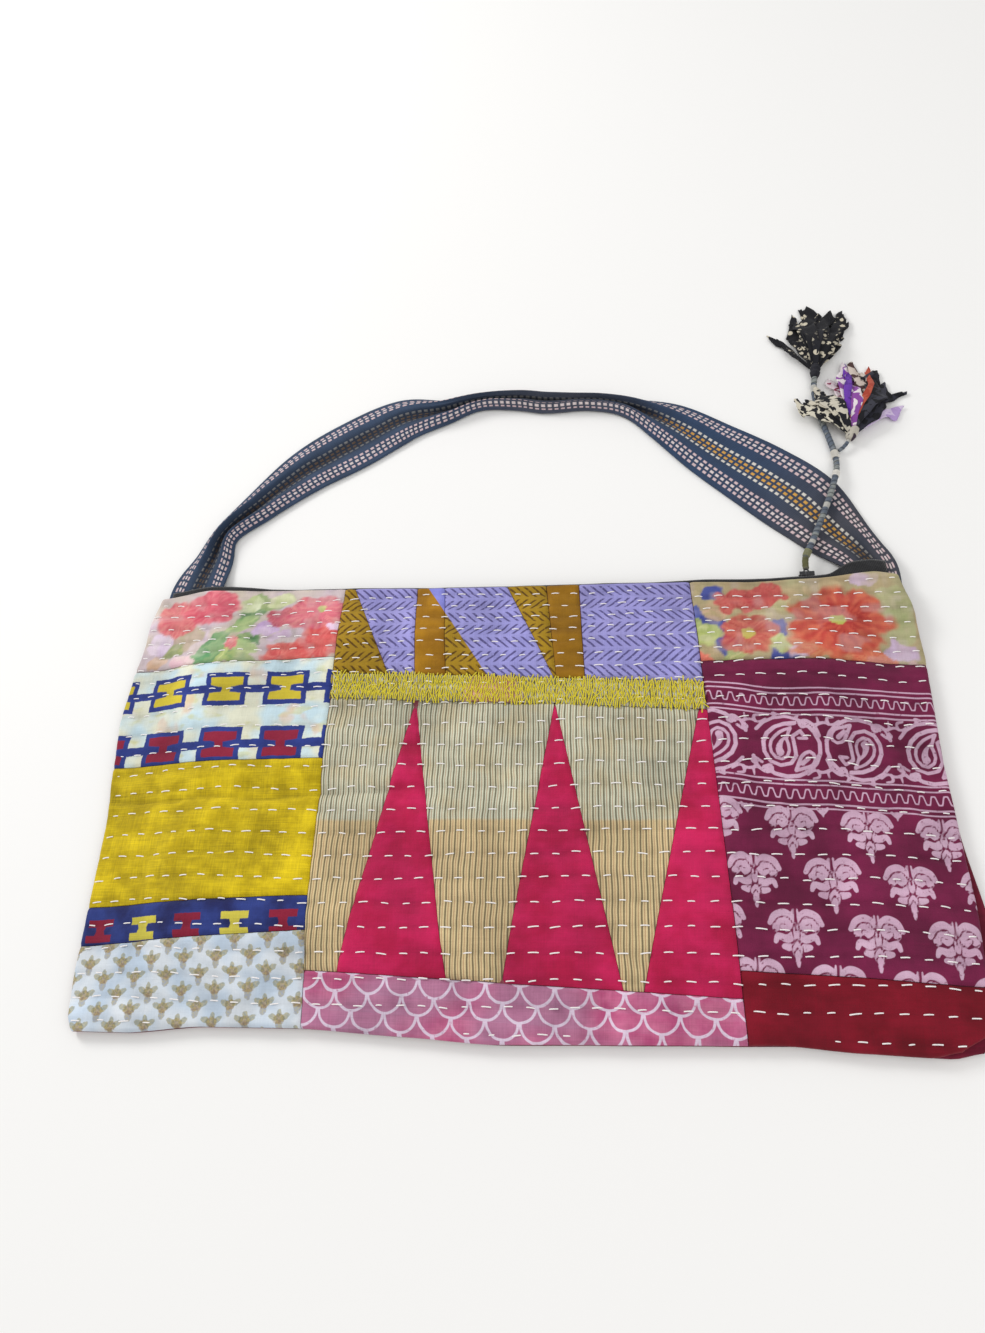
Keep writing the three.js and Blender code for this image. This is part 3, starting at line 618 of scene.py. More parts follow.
# One strip: a narrow cupped ribbon with a ragged end, in points, faces, cloth places and colours
def ribbon(start, bunch, seed, onCord):
    heading, length, width, lift, first, second = bunch
    out = np.array([math.sin(math.radians(heading)), math.cos(math.radians(heading))])
    over = np.array([out[1], -out[0]])
    share = np.linspace(0, 1, tassel["segments"] + 1)
    reach = length * tassel["length"]
    bend = 0.07 * reach * np.sin(share * 5 + heading) * share
    bend = bend + tassel["curl"] * share**2 * math.sin(seed * 2.3)
    arch = np.sin(math.pi * np.minimum(1, share * 1.15))
    rest = tassel["overCord"] if onCord else tassel["overFloor"]
    base = mix(start[2] - 0.5, rest, ramp(share, 0 if onCord else 0.1, 0.3 if onCord else 0.95))
    wave = 0.7 * np.sin(share * 13 + seed * 1.9) * share
    height = base + lift * tassel["headRadius"] * arch + np.abs(wave) + 0.5
    half = width * tassel["strip"] * mix(0.2, 0.5, ramp(share, 0, 0.5))
    half = half * (1 - 0.12 * np.sin(share * 21 + seed))
    across = np.linspace(-1, 1, tassel["facets"])
    ragged = np.abs(across - math.sin(seed * 1.3) * 0.7) * 6.5
    ragged = ragged + np.abs(cloud(across * 3 + seed, across * 0, 1.0, 4)) * 3
    upper = np.zeros((len(share), len(across), 3))
    cup = 0.16 * half[:, None] * (across[None] ** 2 - 0.4) * math.cos(seed * 1.7)
    twist = 0.5 * math.sin(seed * 3.1) * share[:, None] * across[None] * half[:, None] * 0.5
    back = ragged[None] * ramp(share, 0.6, 1)[:, None]
    walk = share[:, None] * reach - back
    upper[..., 0] = start[0] + out[0] * walk + over[0] * (bend[:, None] + across[None] * half[:, None])
    upper[..., 1] = start[1] + out[1] * walk + over[1] * (bend[:, None] + across[None] * half[:, None])
    upper[..., 2] = np.maximum(height[:, None] + cup + twist, rest + 0.6)
    lower = upper.copy()
    lower[..., 2] -= tassel["cloth"]
    lower[..., 2] = np.maximum(lower[..., 2], 0.05)
    uv = np.stack([walk + seed * 7, across[None] * half[:, None] + seed * 3], -1)
    return upper, lower, uv, (first, second)


def joinSheets(name, sheets, head, material):
    points, faces, spots, first, second = [], [], [], [], []
    offset = 0
    for upper, lower, uv, pair in sheets:
        rows, columns = upper.shape[:2]
        layer = rows * columns
        faces.extend((sheetFaces(rows, columns) + offset).tolist())
        points.append(np.concatenate([upper.reshape(-1, 3), lower.reshape(-1, 3)]))
        spots.append(np.tile(uv.reshape(-1, 2), (2, 1)))
        for store, code in ((first, pair[0]), (second, pair[1])):
            store.append(np.tile(tint(code), (2 * layer, 1)))
        offset += 2 * layer
    headPoints, headFaces, headColors = head
    points.append(headPoints)
    spots.append(headPoints[:, :2] - headPoints[:, :2].mean(0))
    faces.extend([tuple(k + offset for k in face) for face in headFaces])
    for store, code in zip((first, second), headColors):
        store.append(np.tile(tint(code), (len(headPoints), 1)))
    piece = meshObject(name, np.concatenate(points), faces, material)
    addUv(piece, np.concatenate(spots))
    for key, store in (("first", first), ("second", second)):
        layerData = piece.data.color_attributes.new(key, "FLOAT_COLOR", "POINT")
        layerData.data.foreach_set("color", np.concatenate(store).astype(np.float32).ravel())
    return piece


# The head is wound cloth: a turned form with a few folds round it
def tasselHead(route, thick):
    end, before = np.array(route[-1], float), np.array(route[-2], float)
    aim = (end - before) / np.linalg.norm(end - before)
    side = np.cross(aim, [0, 0, 1.0])
    side /= np.linalg.norm(side)
    over = np.cross(side, aim)
    share = np.linspace(0, 1, tassel["headRings"])
    radius = np.interp(share, [0, 0.08, 0.25, 0.45, 0.7, 1], [thick / 2, 2.4, 3.1, 2.7, 3.1, 2.2])
    angle = np.arange(tassel["headSides"]) * turn / tassel["headSides"]
    folds = 1 + 0.06 * np.sin(angle * 5)[None] + 0.05 * np.sin(share * 22)[:, None]
    ring = side[None, None] * np.cos(angle)[None, :, None] + over[None, None] * np.sin(angle)[None, :, None]
    middle = end + aim * (bag["gap"] + share * tassel["headLength"])[:, None]
    points = (middle[:, None] + ring * (radius[:, None] * folds)[:, :, None]).reshape(-1, 3)
    points[:, 2] = np.maximum(points[:, 2], 0.08)
    return points, tubeFaces(len(share), len(angle)), end + aim * tassel["headLength"] * 0.5


def paintScraps(net, x, y):
    first, second = net.named("first", "Color"), net.named("second", "Color")
    motif = net.node("ShaderNodeTexVoronoi", {"feature": "F1"},
                     {"Vector": net.joined(x, y), "Scale": 0.3, "Randomness": 0.8}, "Distance")
    curls = net.noise(net.joined(x, y), 0.2, 1.0, 0.5, 0.8)
    mask = (curls - motif * 0.1).over(0.49, 0.02)
    return net.blend(mask, first, second)


def paintDarkScraps(net, x, y):
    first = net.named("first", "Color")
    motif = net.node("ShaderNodeTexVoronoi", {"feature": "F1"},
                     {"Vector": net.joined(x, y), "Scale": 0.2, "Randomness": 1.0}, "Distance")
    dots = motif.under(0.34, 0.03) * net.noise(net.joined(x, y), 0.4, 1.0).over(0.42, 0.03)
    dots = dots * net.noise(net.joined(x + 30, y), 0.05, 1.0).over(0.47, 0.05)
    return net.blend(dots, first, tint("c9c0ab"))


def makeTassel(name, route, thick, bunches, seed, headColors, material, cordSide):
    headPoints, headFaces, start = tasselHead(route, thick)
    sheets = []
    for k, bunch in enumerate(bunches):
        onCord = cordSide and bunch[0] < -20
        for strand in range(2 if k % 2 == 0 else 1):
            heading, length, width, lift, first, second = bunch
            turned = heading + (strand - 0.5) * 4.5
            pair = (first, second) if (k + strand) % 2 == 0 or not cordSide else (second, first)
            row = (turned, length * (1 - 0.13 * strand), width * 0.82, lift + 0.28 * strand, *pair)
            sheets.append(ribbon(start, row, seed + k * 2 + strand, onCord))
    return joinSheets(name, sheets, (headPoints, headFaces, headColors), material)


darkScraps = clothMaterial("darkScraps", paintDarkScraps, map=True, slub=0.2, crease=0.35, blotch=0.2)
mixedScraps = clothMaterial("mixedScraps", paintScraps, map=True, slub=0.15, crease=0.35)
upperTassel = makeTassel("tassel_upper_strips", cordRoute, cord["thick"], upperBunches, 1.0,
                         ("23232a", "5a5a55"), darkScraps, False)
lowerTassel = makeTassel("tassel_lower_strips", branchRoute, cord["branchThick"], lowerBunches, 40.0,
                         ("b9b3a6", "3a2f3a"), mixedScraps, True)

ready(pullCord, "cord_wrap", "pull_cord")
ready(pullBranch, "cord_wrap", "pull_cord_branch")
ready(upperTassel, "tassel_dark", "tassel_upper")
ready(lowerTassel, "tassel_mixed", "tassel_lower")
for knot in knotPieces:
    ready(knot, "stitch_thread")
frameMetres(cordRoute[0])[0]
frameMetres(cordPath)
print("tassels made")

# The patchwork's seams, as shares of the bag's width and height
columnSeams = {"left": (-0.2195, -0.2305), "right": (0.276, 0.2375)}
leftColumn = [("patch_floral_left", 0.802, 0.809), ("patch_link_print", 0.56, 0.562),
              ("patch_yellow", 0.24, 0.266), ("patch_blue_band", 0.157, 0.199), ("patch_sprig", -0.05, -0.05)]
rightColumn = [("patch_floral_right", 0.773, 0.776), ("patch_maroon_print", 0.118, 0.138),
               ("patch_red_band", -0.05, -0.05)]
chevronEnds = [(0.03, 0.158), (0.218, 0.232), (0.3, 0.318), (0.482, 0.612), (0.596, 0.618), (0.69, 0.694),
               (1, 1)]
triangleTips = [0.238, 0.612, 0.98]
tongueFeet = [(0, 0.08), (0.34, 0.468), (0.742, 0.786)]
centreSeams = {"chevronFoot": (0.768, 0.727), "bandFoot": (0.708, 0.663), "tongueFoot": (0.124, 0.09)}
patchEdge = {"inset": 0.16, "dip": 0.8, "dipReach": 1.2, "roll": 2.4, "rollDrop": 2.2, "cloth": 0.75}


def columnSeam(side, up):
    return np.array([bag["width"] * mix(*columnSeams[side], up), bag["height"] * up])


def centrePoint(across, seam):
    return mix(columnSeam("left", seam[0]), columnSeam("right", seam[1]), across)


# Where a straight seam leaves the panel
def meet(inside, outside, side):
    low, high = 0.0, 1.0
    for _ in range(36):
        middle = (low + high) / 2
        across, up = shareOf(*mix(inside, outside, middle))
        beyond = {"left": across < 0, "right": across > 1, "top": up > 1, "bottom": up < 0}[side]
        low, high = (low, middle) if beyond else (middle, high)
    return mix(inside, outside, low)


# Corners of every patch, anticlockwise from the bottom left, and its sides on the panel's own edge
def patchPlan():
    plan = {}
    for side, pieces in (("left", leftColumn), ("right", rightColumn)):
        sign = -1 if side == "left" else 1
        outerX = sign * (bag["width"] / 2 + 3 * bag["sideBulge"])
        seams = []
        for name, outer, inner in pieces:
            if outer < 0:
                low = meet(columnSeam(side, 0.1), columnSeam(side, -0.05), "bottom")
                corner = panelPoint(0.0 if sign < 0 else 1.0, 0.0)
                seams.append((corner, low))
            else:
                low = columnSeam(side, inner)
                seams.append((meet(low, np.array([outerX, bag["height"] * outer]), side), low))
        topInner = meet(columnSeam(side, 0.9), columnSeam(side, 1.06), "top")
        above = (panelPoint(0.0 if sign < 0 else 1.0, 1.0), topInner)
        for k, ((name, outer, inner), seam) in enumerate(zip(pieces, seams)):
            hems = {side} | ({"top"} if k == 0 else set()) | ({"bottom"} if outer < 0 else set())
            corners = [seam[0], seam[1], above[1], above[0]]
            if sign > 0:
                corners = [seam[1], seam[0], above[0], above[1]]
            plan[name] = (corners, hems)
            above = seam
    chevronFoot, bandFoot, tongueFoot = (centreSeams[k] for k in ("chevronFoot", "bandFoot", "tongueFoot"))
    before = None
    for k, (upper, lower) in enumerate([(0, 0), *chevronEnds]):
        foot = centrePoint(lower, chevronFoot)
        head = meet(foot, centrePoint(lower + (upper - lower) * 1.3, (1.07, 1.07)), "top")
        if upper in (0, 1):
            side = "left" if upper == 0 else "right"
            head = meet(columnSeam(side, 0.9), columnSeam(side, 1.06), "top")
        if before is not None:
            plan[f"patch_chevron_{k}"] = ([before[0], foot, head, before[1]], {"top"})
        before = (foot, head)
    plan["patch_embroidered_band"] = ([centrePoint(0, bandFoot), centrePoint(1, bandFoot),
                                       centrePoint(1, chevronFoot), centrePoint(0, chevronFoot)], set())
    for k, (left, right) in enumerate(tongueFeet):
        start = 0 if k == 0 else triangleTips[k - 1]
        tip = centrePoint(triangleTips[k], bandFoot)
        plan[f"patch_tongue_{k + 1}"] = ([centrePoint(left, tongueFoot), centrePoint(right, tongueFoot), tip,
                                          centrePoint(start, bandFoot)], set())
        nextFoot = tongueFeet[k + 1][0] if k + 1 < len(tongueFeet) else 1
        far = centrePoint(1, bandFoot) if nextFoot == 1 else tip
        plan[f"patch_triangle_{k + 1}"] = ([centrePoint(right, tongueFoot), centrePoint(nextFoot, tongueFoot),
                                            far, tip], set())
    footLeft = meet(columnSeam("left", 0.1), columnSeam("left", -0.05), "bottom")
    footRight = meet(columnSeam("right", 0.1), columnSeam("right", -0.05), "bottom")
    plan["patch_scallop"] = ([footLeft, footRight, centrePoint(1, tongueFoot), centrePoint(0, tongueFoot)],
                             {"bottom"})
    return plan


# Shares along a side, with extra lines near its ends, where the cloth turns down into its seam
def spread(length, step, insets):
    near = np.array([0, 0.45, 0.95, 1.6, 2.5])
    first, last = insets[0], length - insets[1]
    if last - first < 8:
        return np.linspace(first, last, max(5, int((last - first) / 0.8) + 1)) / length
    middle = np.linspace(first + 2.5, last - 2.5, max(3, int((last - first - 5) / step) + 2))
    return np.concatenate([first + near[:-1], middle, last - near[:-1][::-1]]) / length


def hemLine(start, end, side, share):
    (a0, u0), (a1, u1) = shareOf(*start), shareOf(*end)
    a, u = mix(a0, a1, share), mix(u0, u1, share)
    if side in ("left", "right"):
        a = np.full_like(share, 0.0 if side == "left" else 1.0)
    else:
        u = np.full_like(share, 0.0 if side == "bottom" else 1.0)
    return panelPoint(a, u)


# A patch's grid: its points, and how far each lies from each side
def patchGrid(corners, hems, step):
    low, right, top, left = ((corners[0], corners[1]), (corners[1], corners[2]),
                             (corners[3], corners[2]), (corners[0], corners[3]))
    wide = max(np.linalg.norm(low[1] - low[0]), np.linalg.norm(top[1] - top[0]))
    high = max(np.linalg.norm(left[1] - left[0]), np.linalg.norm(right[1] - right[0]))
    inset = {side: 0.0 if side in hems else patchEdge["inset"] for side in ("left", "right", "top", "bottom")}
    s = spread(wide, step, (inset["left"], inset["right"]))
    t = spread(high, step, (inset["bottom"], inset["top"]))

    def line(ends, side, share):
        if side in hems:
            return hemLine(*ends, side, share)
        return ends[0] + (ends[1] - ends[0]) * share[:, None]

    lowLine, topLine = line(low, "bottom", s), line(top, "top", s)
    leftLine, rightLine = line(left, "left", t), line(right, "right", t)
    ss, tt = s[None, :, None], t[:, None, None]
    flat = (1 - tt) * lowLine[None] + tt * topLine[None]
    flat = flat + (1 - ss) * leftLine[:, None] + ss * rightLine[:, None]
    flat -= ((1 - ss) * (1 - tt) * corners[0] + ss * (1 - tt) * corners[1] + ss * tt * corners[2]
             + (1 - ss) * tt * corners[3])
    across = np.linalg.norm(rightLine - leftLine, axis=1)[:, None]
    up = np.linalg.norm(topLine - lowLine, axis=1)[None, :]
    away = {"left": s[None] * across, "right": (1 - s)[None] * across,
            "bottom": t[:, None] * up, "top": (1 - t)[:, None] * up}
    return flat, away


def patchSurface(flat, away, hems):
    x, y = flat[..., 0], flat[..., 1]
    across, up = shareOf(x, y)
    across, up = np.clip(across, 0, 1), np.clip(up, 0, 1)
    relief = quiltRelief(x, y)
    z = frontTop(across, up) + bag["gap"] + bag["patchCloth"]
    for side, gap in away.items():
        if side in hems:
            relief = relief * mix(0.35, 1, ramp(gap, 0.5, 7))
            roll = np.clip(1 - gap / patchEdge["roll"], 0, 1)
            z = z - patchEdge["rollDrop"] * (1 - np.sqrt(1 - roll**2 * 0.98))
        else:
            z = z - patchEdge["dip"] * np.exp(-((gap / patchEdge["dipReach"]) ** 2))
    return z + relief


def makePatch(node, spec, plan):
    corners, hems = plan[node]
    flat, away = patchGrid(corners, hems, spec.get("step", 1.7))
    z = patchSurface(flat, away, hems)
    relief = quiltRelief(flat[..., 0], flat[..., 1])
    upper = np.concatenate([flat, z[..., None]], -1)
    lower = upper.copy()
    lower[..., 2] -= patchEdge["cloth"]
    extras = spec["extras"](flat) if "extras" in spec else {}
    # Painted shade: the quilt relief is stored for the colour, darker in the furrows and lighter on the
    # puckers
    extras.setdefault("values", {})["hollow"] = np.clip(relief, -1.6, 1.2)
    piece = sheetObject(node + "_cloth", upper, lower, spec["material"], **extras)
    return ready(piece, spec["slot"], node)


def paintPlain(deep, pale, grain=0.05):
    def paint(net, x, y):
        tone = net.noise(net.joined(x * 0.7, y), grain, 3.0, 0.6).over(0.5, 0.16)
        return net.blend(tone, tint(deep), tint(pale))
    return paint


# Herringbone: half rows of slanted dashes, turned the other way in every other one
herringbone = {"halfRow": 8.75, "pitch": 4.7, "slant": 1.05, "dash": 0.17, "keep": 0.38, "tilt": -0.022,
               "cutTop": -48, "cutLean": 0.63}


# The diagonal seam that crosses the third and the fourth piece of the strip
def pastCut(x, y):
    return (x - herringbone["cutTop"] - (bag["height"] - y) * herringbone["cutLean"]).over(0.0, 0.2)


def paintCutPlain(net, x, y):
    lilac = net.toned(x, y, 0.06, 2.0, tint("7d7fd0"), tint("9291d8"))
    plain = net.mottled(x, y, 0.07, 3.0, 0.5, 0.16, tint("8f620c"), tint("a37312"))
    return net.blend(pastCut(x, y), plain, lilac)


def paintCutLilac(net, x, y):
    lilac = paintHerringbone("8e8ccb", "a19cd6", "4c4577")(net, x, y)
    mustard = paintHerringbone("94740f", "a98520", "50340a")(net, x, y)
    return net.blend(pastCut(x, y), mustard, lilac)


def paintHerringbone(ground, groundPale, dashes):
    def paint(net, x, y):
        wobble = net.noise(net.joined(x, y), 0.12, 2.0) * 1.6
        v = (y - x * herringbone["tilt"] + wobble) / herringbone["halfRow"]
        inside = v.fract()
        way = ((v.floor() * 0.5).fract() - 0.25) * 4
        slide = way * inside * (herringbone["slant"] * herringbone["halfRow"])
        phase = ((x + slide) / herringbone["pitch"]).fract()
        worn = net.noise(net.joined(x, y), 0.7, 2.0).over(0.36, 0.1)
        mask = abs(phase - 0.5).under(herringbone["dash"], 0.06)
        mask = mask * abs(inside - 0.5).under(herringbone["keep"], 0.05)
        base = net.toned(x, y, 0.06, 2.0, tint(ground), tint(groundPale))
        return net.blend(mask * worn * 0.9, base, tint(dashes))
    return paint


# Woven stripes: a dark thread line and a warm one in each repeat, on a ground that is warmer lower down
stripes = {"pitch": 2.75, "line": 0.15, "warmLine": 0.1, "warmBelow": 104}


def paintStripes(net, x, y):
    bend = net.noise(net.joined(x, y), 0.035, 2.0) * 3.0
    lean = x + bend + y * 0.012
    repeat = (lean / stripes["pitch"]).fract()
    chosen = net.noise(net.joined(lean * 0.24, 0.0), 1.0, 1.0)
    dark = abs(repeat - 0.28).under(stripes["line"], 0.05) * chosen.over(0.3, 0.12)
    warm = abs(repeat - 0.74).under(stripes["warmLine"], 0.05)
    lower = y.under(stripes["warmBelow"], 1.0)
    ground = net.blend(lower, tint("c9cab2"), tint("d3bd90"))
    ground = net.mottled(x, y, 0.05, 3.0, 0.55, 0.1, ground, tint("c9b98c"), 0.4)
    ground = net.blend(dark * 0.85, ground, tint("5c523c"))
    return net.blend(warm * 0.6, ground, tint("97694a"))


# The embroidered band: the same stripes, with a faint pink stain
def paintBand(net, x, y):
    striped = paintStripes(net, x, y)
    stain = ((x + 6) * (x + 6) / 260 + (y - 166) * (y - 166) / 700).under(1.0, 0.5)
    return net.blend(stain * 0.5, striped, tint("e0876a"))


# Fish scales: hanging half circles, each row set half a scale to the side of the next
scallop = {"radius": 8.1, "line": 0.62, "rise": 17.4, "shift": 3.2, "tilt": -0.045}


def paintScallop(net, x, y):
    wobble = net.noise(net.joined(x, y), 0.09, 2.0) * 2.0 - 1.0
    u, v = x + scallop["shift"] + wobble, y - x * scallop["tilt"] - scallop["rise"] + wobble
    row = (v / scallop["radius"]).floor()
    odd = (row * 0.5).fract() * 2
    across = ((u / (2 * scallop["radius"]) + odd * 0.5).fract() - 0.5) * (2 * scallop["radius"])
    below = (1 - (v / scallop["radius"]).fract()) * scallop["radius"]
    ring = (across * across + below * below).root()
    line = abs(ring - (scallop["radius"] - 0.5)).under(scallop["line"], 0.2)
    worn = net.noise(net.joined(x, y), 0.5, 2.0).over(0.3, 0.12)
    corner = ring.over(scallop["radius"] + 0.6, 0.4)
    pink = net.mottled(x, y, 0.09, 3.0, 0.5, 0.2, tint("b04a76"), tint("c56c8e"))
    lilac = net.noise(net.joined(x - 60, y), 0.02, 1.0).over(0.5, 0.12)
    pink = net.blend(lilac * 0.55 + corner * 0.1, pink, tint("a8839f"))
    return net.blend(line * worn * 0.85, pink, tint("ded0e2"))


# Linked frames: each has a spool inside, and bars join it to the next
links = {
    "upperRow": 180.6, "upperStart": -156.6, "lowerRow": 147.0, "lowerStart": -154.6, "pitch": 35.1,
    "halfWide": 12.4, "halfHigh": 10.2, "border": 2.9, "bar": 2.4, "waist": 2.6,
}


def paintLinks(net, x, y):
    wobble = net.noise(net.joined(x, y), 0.11, 2.0) * 2.2 - 1.1
    edge = net.noise(net.joined(x, y), 0.9, 2.0) * 0.7 - 0.35
    ground = net.mottled(x, y, 0.045, 2.0, 0.5, 0.12, tint("c6dde6"), tint("dcdcc6"))
    ground = net.mottled(x, y * 1.6, 0.07, 2.0, 0.6, 0.06, ground, tint("ccc876"), 0.5)
    ground = net.mottled(x + 90, y, 0.06, 2.0, 0.62, 0.06, ground, tint("e3b9a0"), 0.5)
    colour = ground
    for row, start, fill in (("upperRow", "upperStart", "cdb935"), ("lowerRow", "lowerStart", "8c1f3a")):
        across = abs((x + wobble - links[start]).repeat(links["pitch"])) + edge
        rise = abs(y - links[row] + wobble * 0.7) + edge
        bar = rise.under(links["bar"], 0.25)
        inFrame = across.under(links["halfWide"], 0.25) * rise.under(links["halfHigh"], 0.25)
        inner = (across.under(links["halfWide"] - links["border"], 0.25)
                 * rise.under(links["halfHigh"] - links["border"], 0.25))
        notch = (rise + across * -0.14).under(1.1, 0.4) * across.over(links["waist"], 0.3)
        blue = net.toned(x, y, 0.16, 2.0, tint("242c6a"), tint("33479a"))
        colour = net.blend(bar.most(inFrame), colour, blue)
        colour = net.blend(inner * (1 - notch), colour, tint(fill))
    return colour


# Blue band: spools in red and yellow by turns, along a line that rises to the right
spools = {
    "pitch": 25.1, "start": -179.6, "rise": 49.2, "tilt": 0.042,
    "halfWide": 7.2, "halfHigh": 5.7, "slab": 2.1, "waist": 2.2,
}


def paintSpools(net, x, y):
    wobble = net.noise(net.joined(x, y), 0.14, 2.0) * 1.4 - 0.7
    edge = net.noise(net.joined(x, y), 1.1, 2.0) * 0.5 - 0.25
    count = (x + wobble - spools["start"]) / spools["pitch"] + 0.5
    across = abs(count.fract() - 0.5) * spools["pitch"] + edge
    odd = (count.floor() * 0.5).fract() * 2
    rise = abs(y - spools["rise"] - (x - spools["start"]) * spools["tilt"]) + edge
    inside = across.under(spools["halfWide"], 0.2) * rise.under(spools["halfHigh"], 0.2)
    notch = rise.under(spools["slab"], 0.25) * (across - rise * 0.3).over(spools["waist"], 0.25)
    ground = net.mottled(x, y, 0.07, 3.0, 0.5, 0.2, tint("1f2458"), tint("2f3f84"))
    foot = (y - (x + 210) * 0.075 - 40.0).under(0.0, 1.2)
    ground = net.blend(foot * 0.8, ground, tint("3a1c3c"))
    fill = net.blend(odd, tint("cfc24c"), tint("871c36"))
    return net.blend(inside * (1 - notch), ground, fill)


# Sprigs: a fan of three leaves over a pointed grey foot, in rows set half a step apart
sprigs = {"pitch": 17.1, "row": 7.55, "start": -205.6, "rise": 31.6, "tilt": 0.066}
# Each part's ovals: middle, half sizes and lean
sprigParts = {
    "leaves": [(-3.0, 0.9, 2.5, 1.4, -0.55), (3.0, 0.9, 2.5, 1.4, 0.55), (0.0, 2.6, 1.2, 1.9, 0.0)],
    "body": [(0.0, 0.0, 2.8, 2.4, 0.0)],
    "foot": [(0.0, -3.0, 1.7, 2.6, 0.0)],
}


def sprigOval(u, v, edge, cx, cy, rx, ry, lean):
    a = (u - cx) * math.cos(lean) + (v - cy) * math.sin(lean)
    b = (v - cy) * math.cos(lean) - (u - cx) * math.sin(lean)
    return ((a / rx) * (a / rx) + (b / ry) * (b / ry) + edge * 0.45).under(1.0, 0.3)


def paintSprigs(net, x, y):
    rise = y - (x - sprigs["start"]) * sprigs["tilt"] - sprigs["rise"]
    sway = net.noise(net.joined(x, y), 0.05, 1.0) * 2.4 - 1.2
    edge = net.noise(net.joined(x, y), 0.7, 3.0) * 3.6 - 1.8
    shown = {}
    for half in (0.0, 0.5):
        u = (x - sprigs["start"] + sway).repeat(sprigs["pitch"], half)
        v = rise.repeat(2 * sprigs["row"], half)
        for part, ovals in sprigParts.items():
            for oval in ovals:
                shape = sprigOval(u, v, edge, *oval)
                shown[part] = shown[part].most(shape) if part in shown else shape
    ground = net.mottled(x, y, 0.05, 2.0, 0.5, 0.15, tint("bccbdb"), tint("d6dce2"))
    fleck = net.noise(net.joined(x, y), 0.9, 2.0).over(0.5, 0.1)
    ground = net.blend(shown["foot"] * 0.7, ground, net.blend(fleck, tint("8d8f9a"), tint("a59a70")))
    ground = net.blend(shown["body"] * 0.75, ground, net.blend(fleck, tint("8a6f44"), tint("a9905c")))
    return net.blend(shown["leaves"] * 0.65, ground, net.blend(fleck, tint("7f8266"), tint("a89a5c")))


# Distance fields of printed lines: each stroke is a smooth line of points with a width at each end
def strokeField(x, y, strokes):
    best = np.full(x.shape, -9.0)
    for points, first, last in strokes:
        line = smoothPath(points, 14) if len(points) > 2 else np.array(points, float)
        count = len(line) - 1
        for k, (a, b) in enumerate(zip(line, line[1:])):
            step = b - a
            share = np.clip(((x - a[0]) * step[0] + (y - a[1]) * step[1]) / (step @ step + 1e-9), 0, 1)
            gap = np.hypot(x - a[0] - share * step[0], y - a[1] - share * step[1])
            best = np.maximum(best, mix(first, last, (k + share) / count) / 2 - gap)
    return best


def arc(cx, cy, radius, start, stop, count=9, squash=1.0):
    angle = np.radians(np.linspace(start, stop, count))
    return [[cx + radius * math.cos(a), cy + squash * radius * math.sin(a)] for a in angle]


# One roundel of the border, 34 mm across: a ring, a large curled drop with a smaller one in it, and a leaf
roundel = [
    (arc(0, 0, 16.2, 226, 510, 25), 2.1, 1.7),
    ([[5.2, 12.6], [-2.6, 11.4], [-9, 6.4], [-11.4, -1], [-8.8, -7.8], [-2.6, -10.4], [2.8, -8], [4.6, -2.2],
      [3.2, 3], [4.2, 7.2], [8, 8.4], [10.4, 5.4], [8.4, 2.8], [6.4, 4.6]], 2.1, 1.7),
    ([[3.0, 10.0], [-2.8, 7.4], [-7.4, 2.2], [-7.6, -3.6], [-3.8, -6.9], [0.2, -5], [1.3, -0.6], [0.4, 4.2],
      [3.0, 10.0]], 1.5, 1.5),
    ([[0.6, 6.0], [-2.4, 2.4], [-3.7, -1.4], [-3.3, -3.2]], 0.5, 3.9),
    ([[3.4, -12.8], [5.2, -8.6], [7.4, -4.4], [11.2, -2.8], [13.4, -6], [11.6, -9.8], [7.6, -11.4],
      [3.4, -12.8]],
     1.7, 1.7),
    ([[6.8, -9.2], [9.8, -6.2]], 2.0, 2.4),
    ([[-12.2, -9.2], [-15.2, -7.2], [-17.2, -8.6], [-16, -10.4]], 1.5, 1.0),
    ([[-4, 15.6], [-5.2, 18.2], [-2.6, 17.6]], 1.6, 1.0), ([[6, 15.4], [7.8, 17.8]], 2.0, 0.8),
]
# Scrolls that fill the corners between two roundels
scroll = [
    ([[-1.4, 6.4], [-3.4, 11.6], [-7.4, 14.4], [-10.2, 12.6], [-8.6, 10.4], [-6.9, 11.6]], 1.9, 1.4),
    ([[-3.4, 11.6], [1.4, 13.4], [5.2, 12.4], [8.8, 14.8]], 1.8, 1.0),
    ([[3.6, 12.6], [3.2, 15.8], [6.4, 16.6]], 1.6, 1.0), ([[-1, 13], [-1.6, 16.4]], 1.5, 0.8),
]
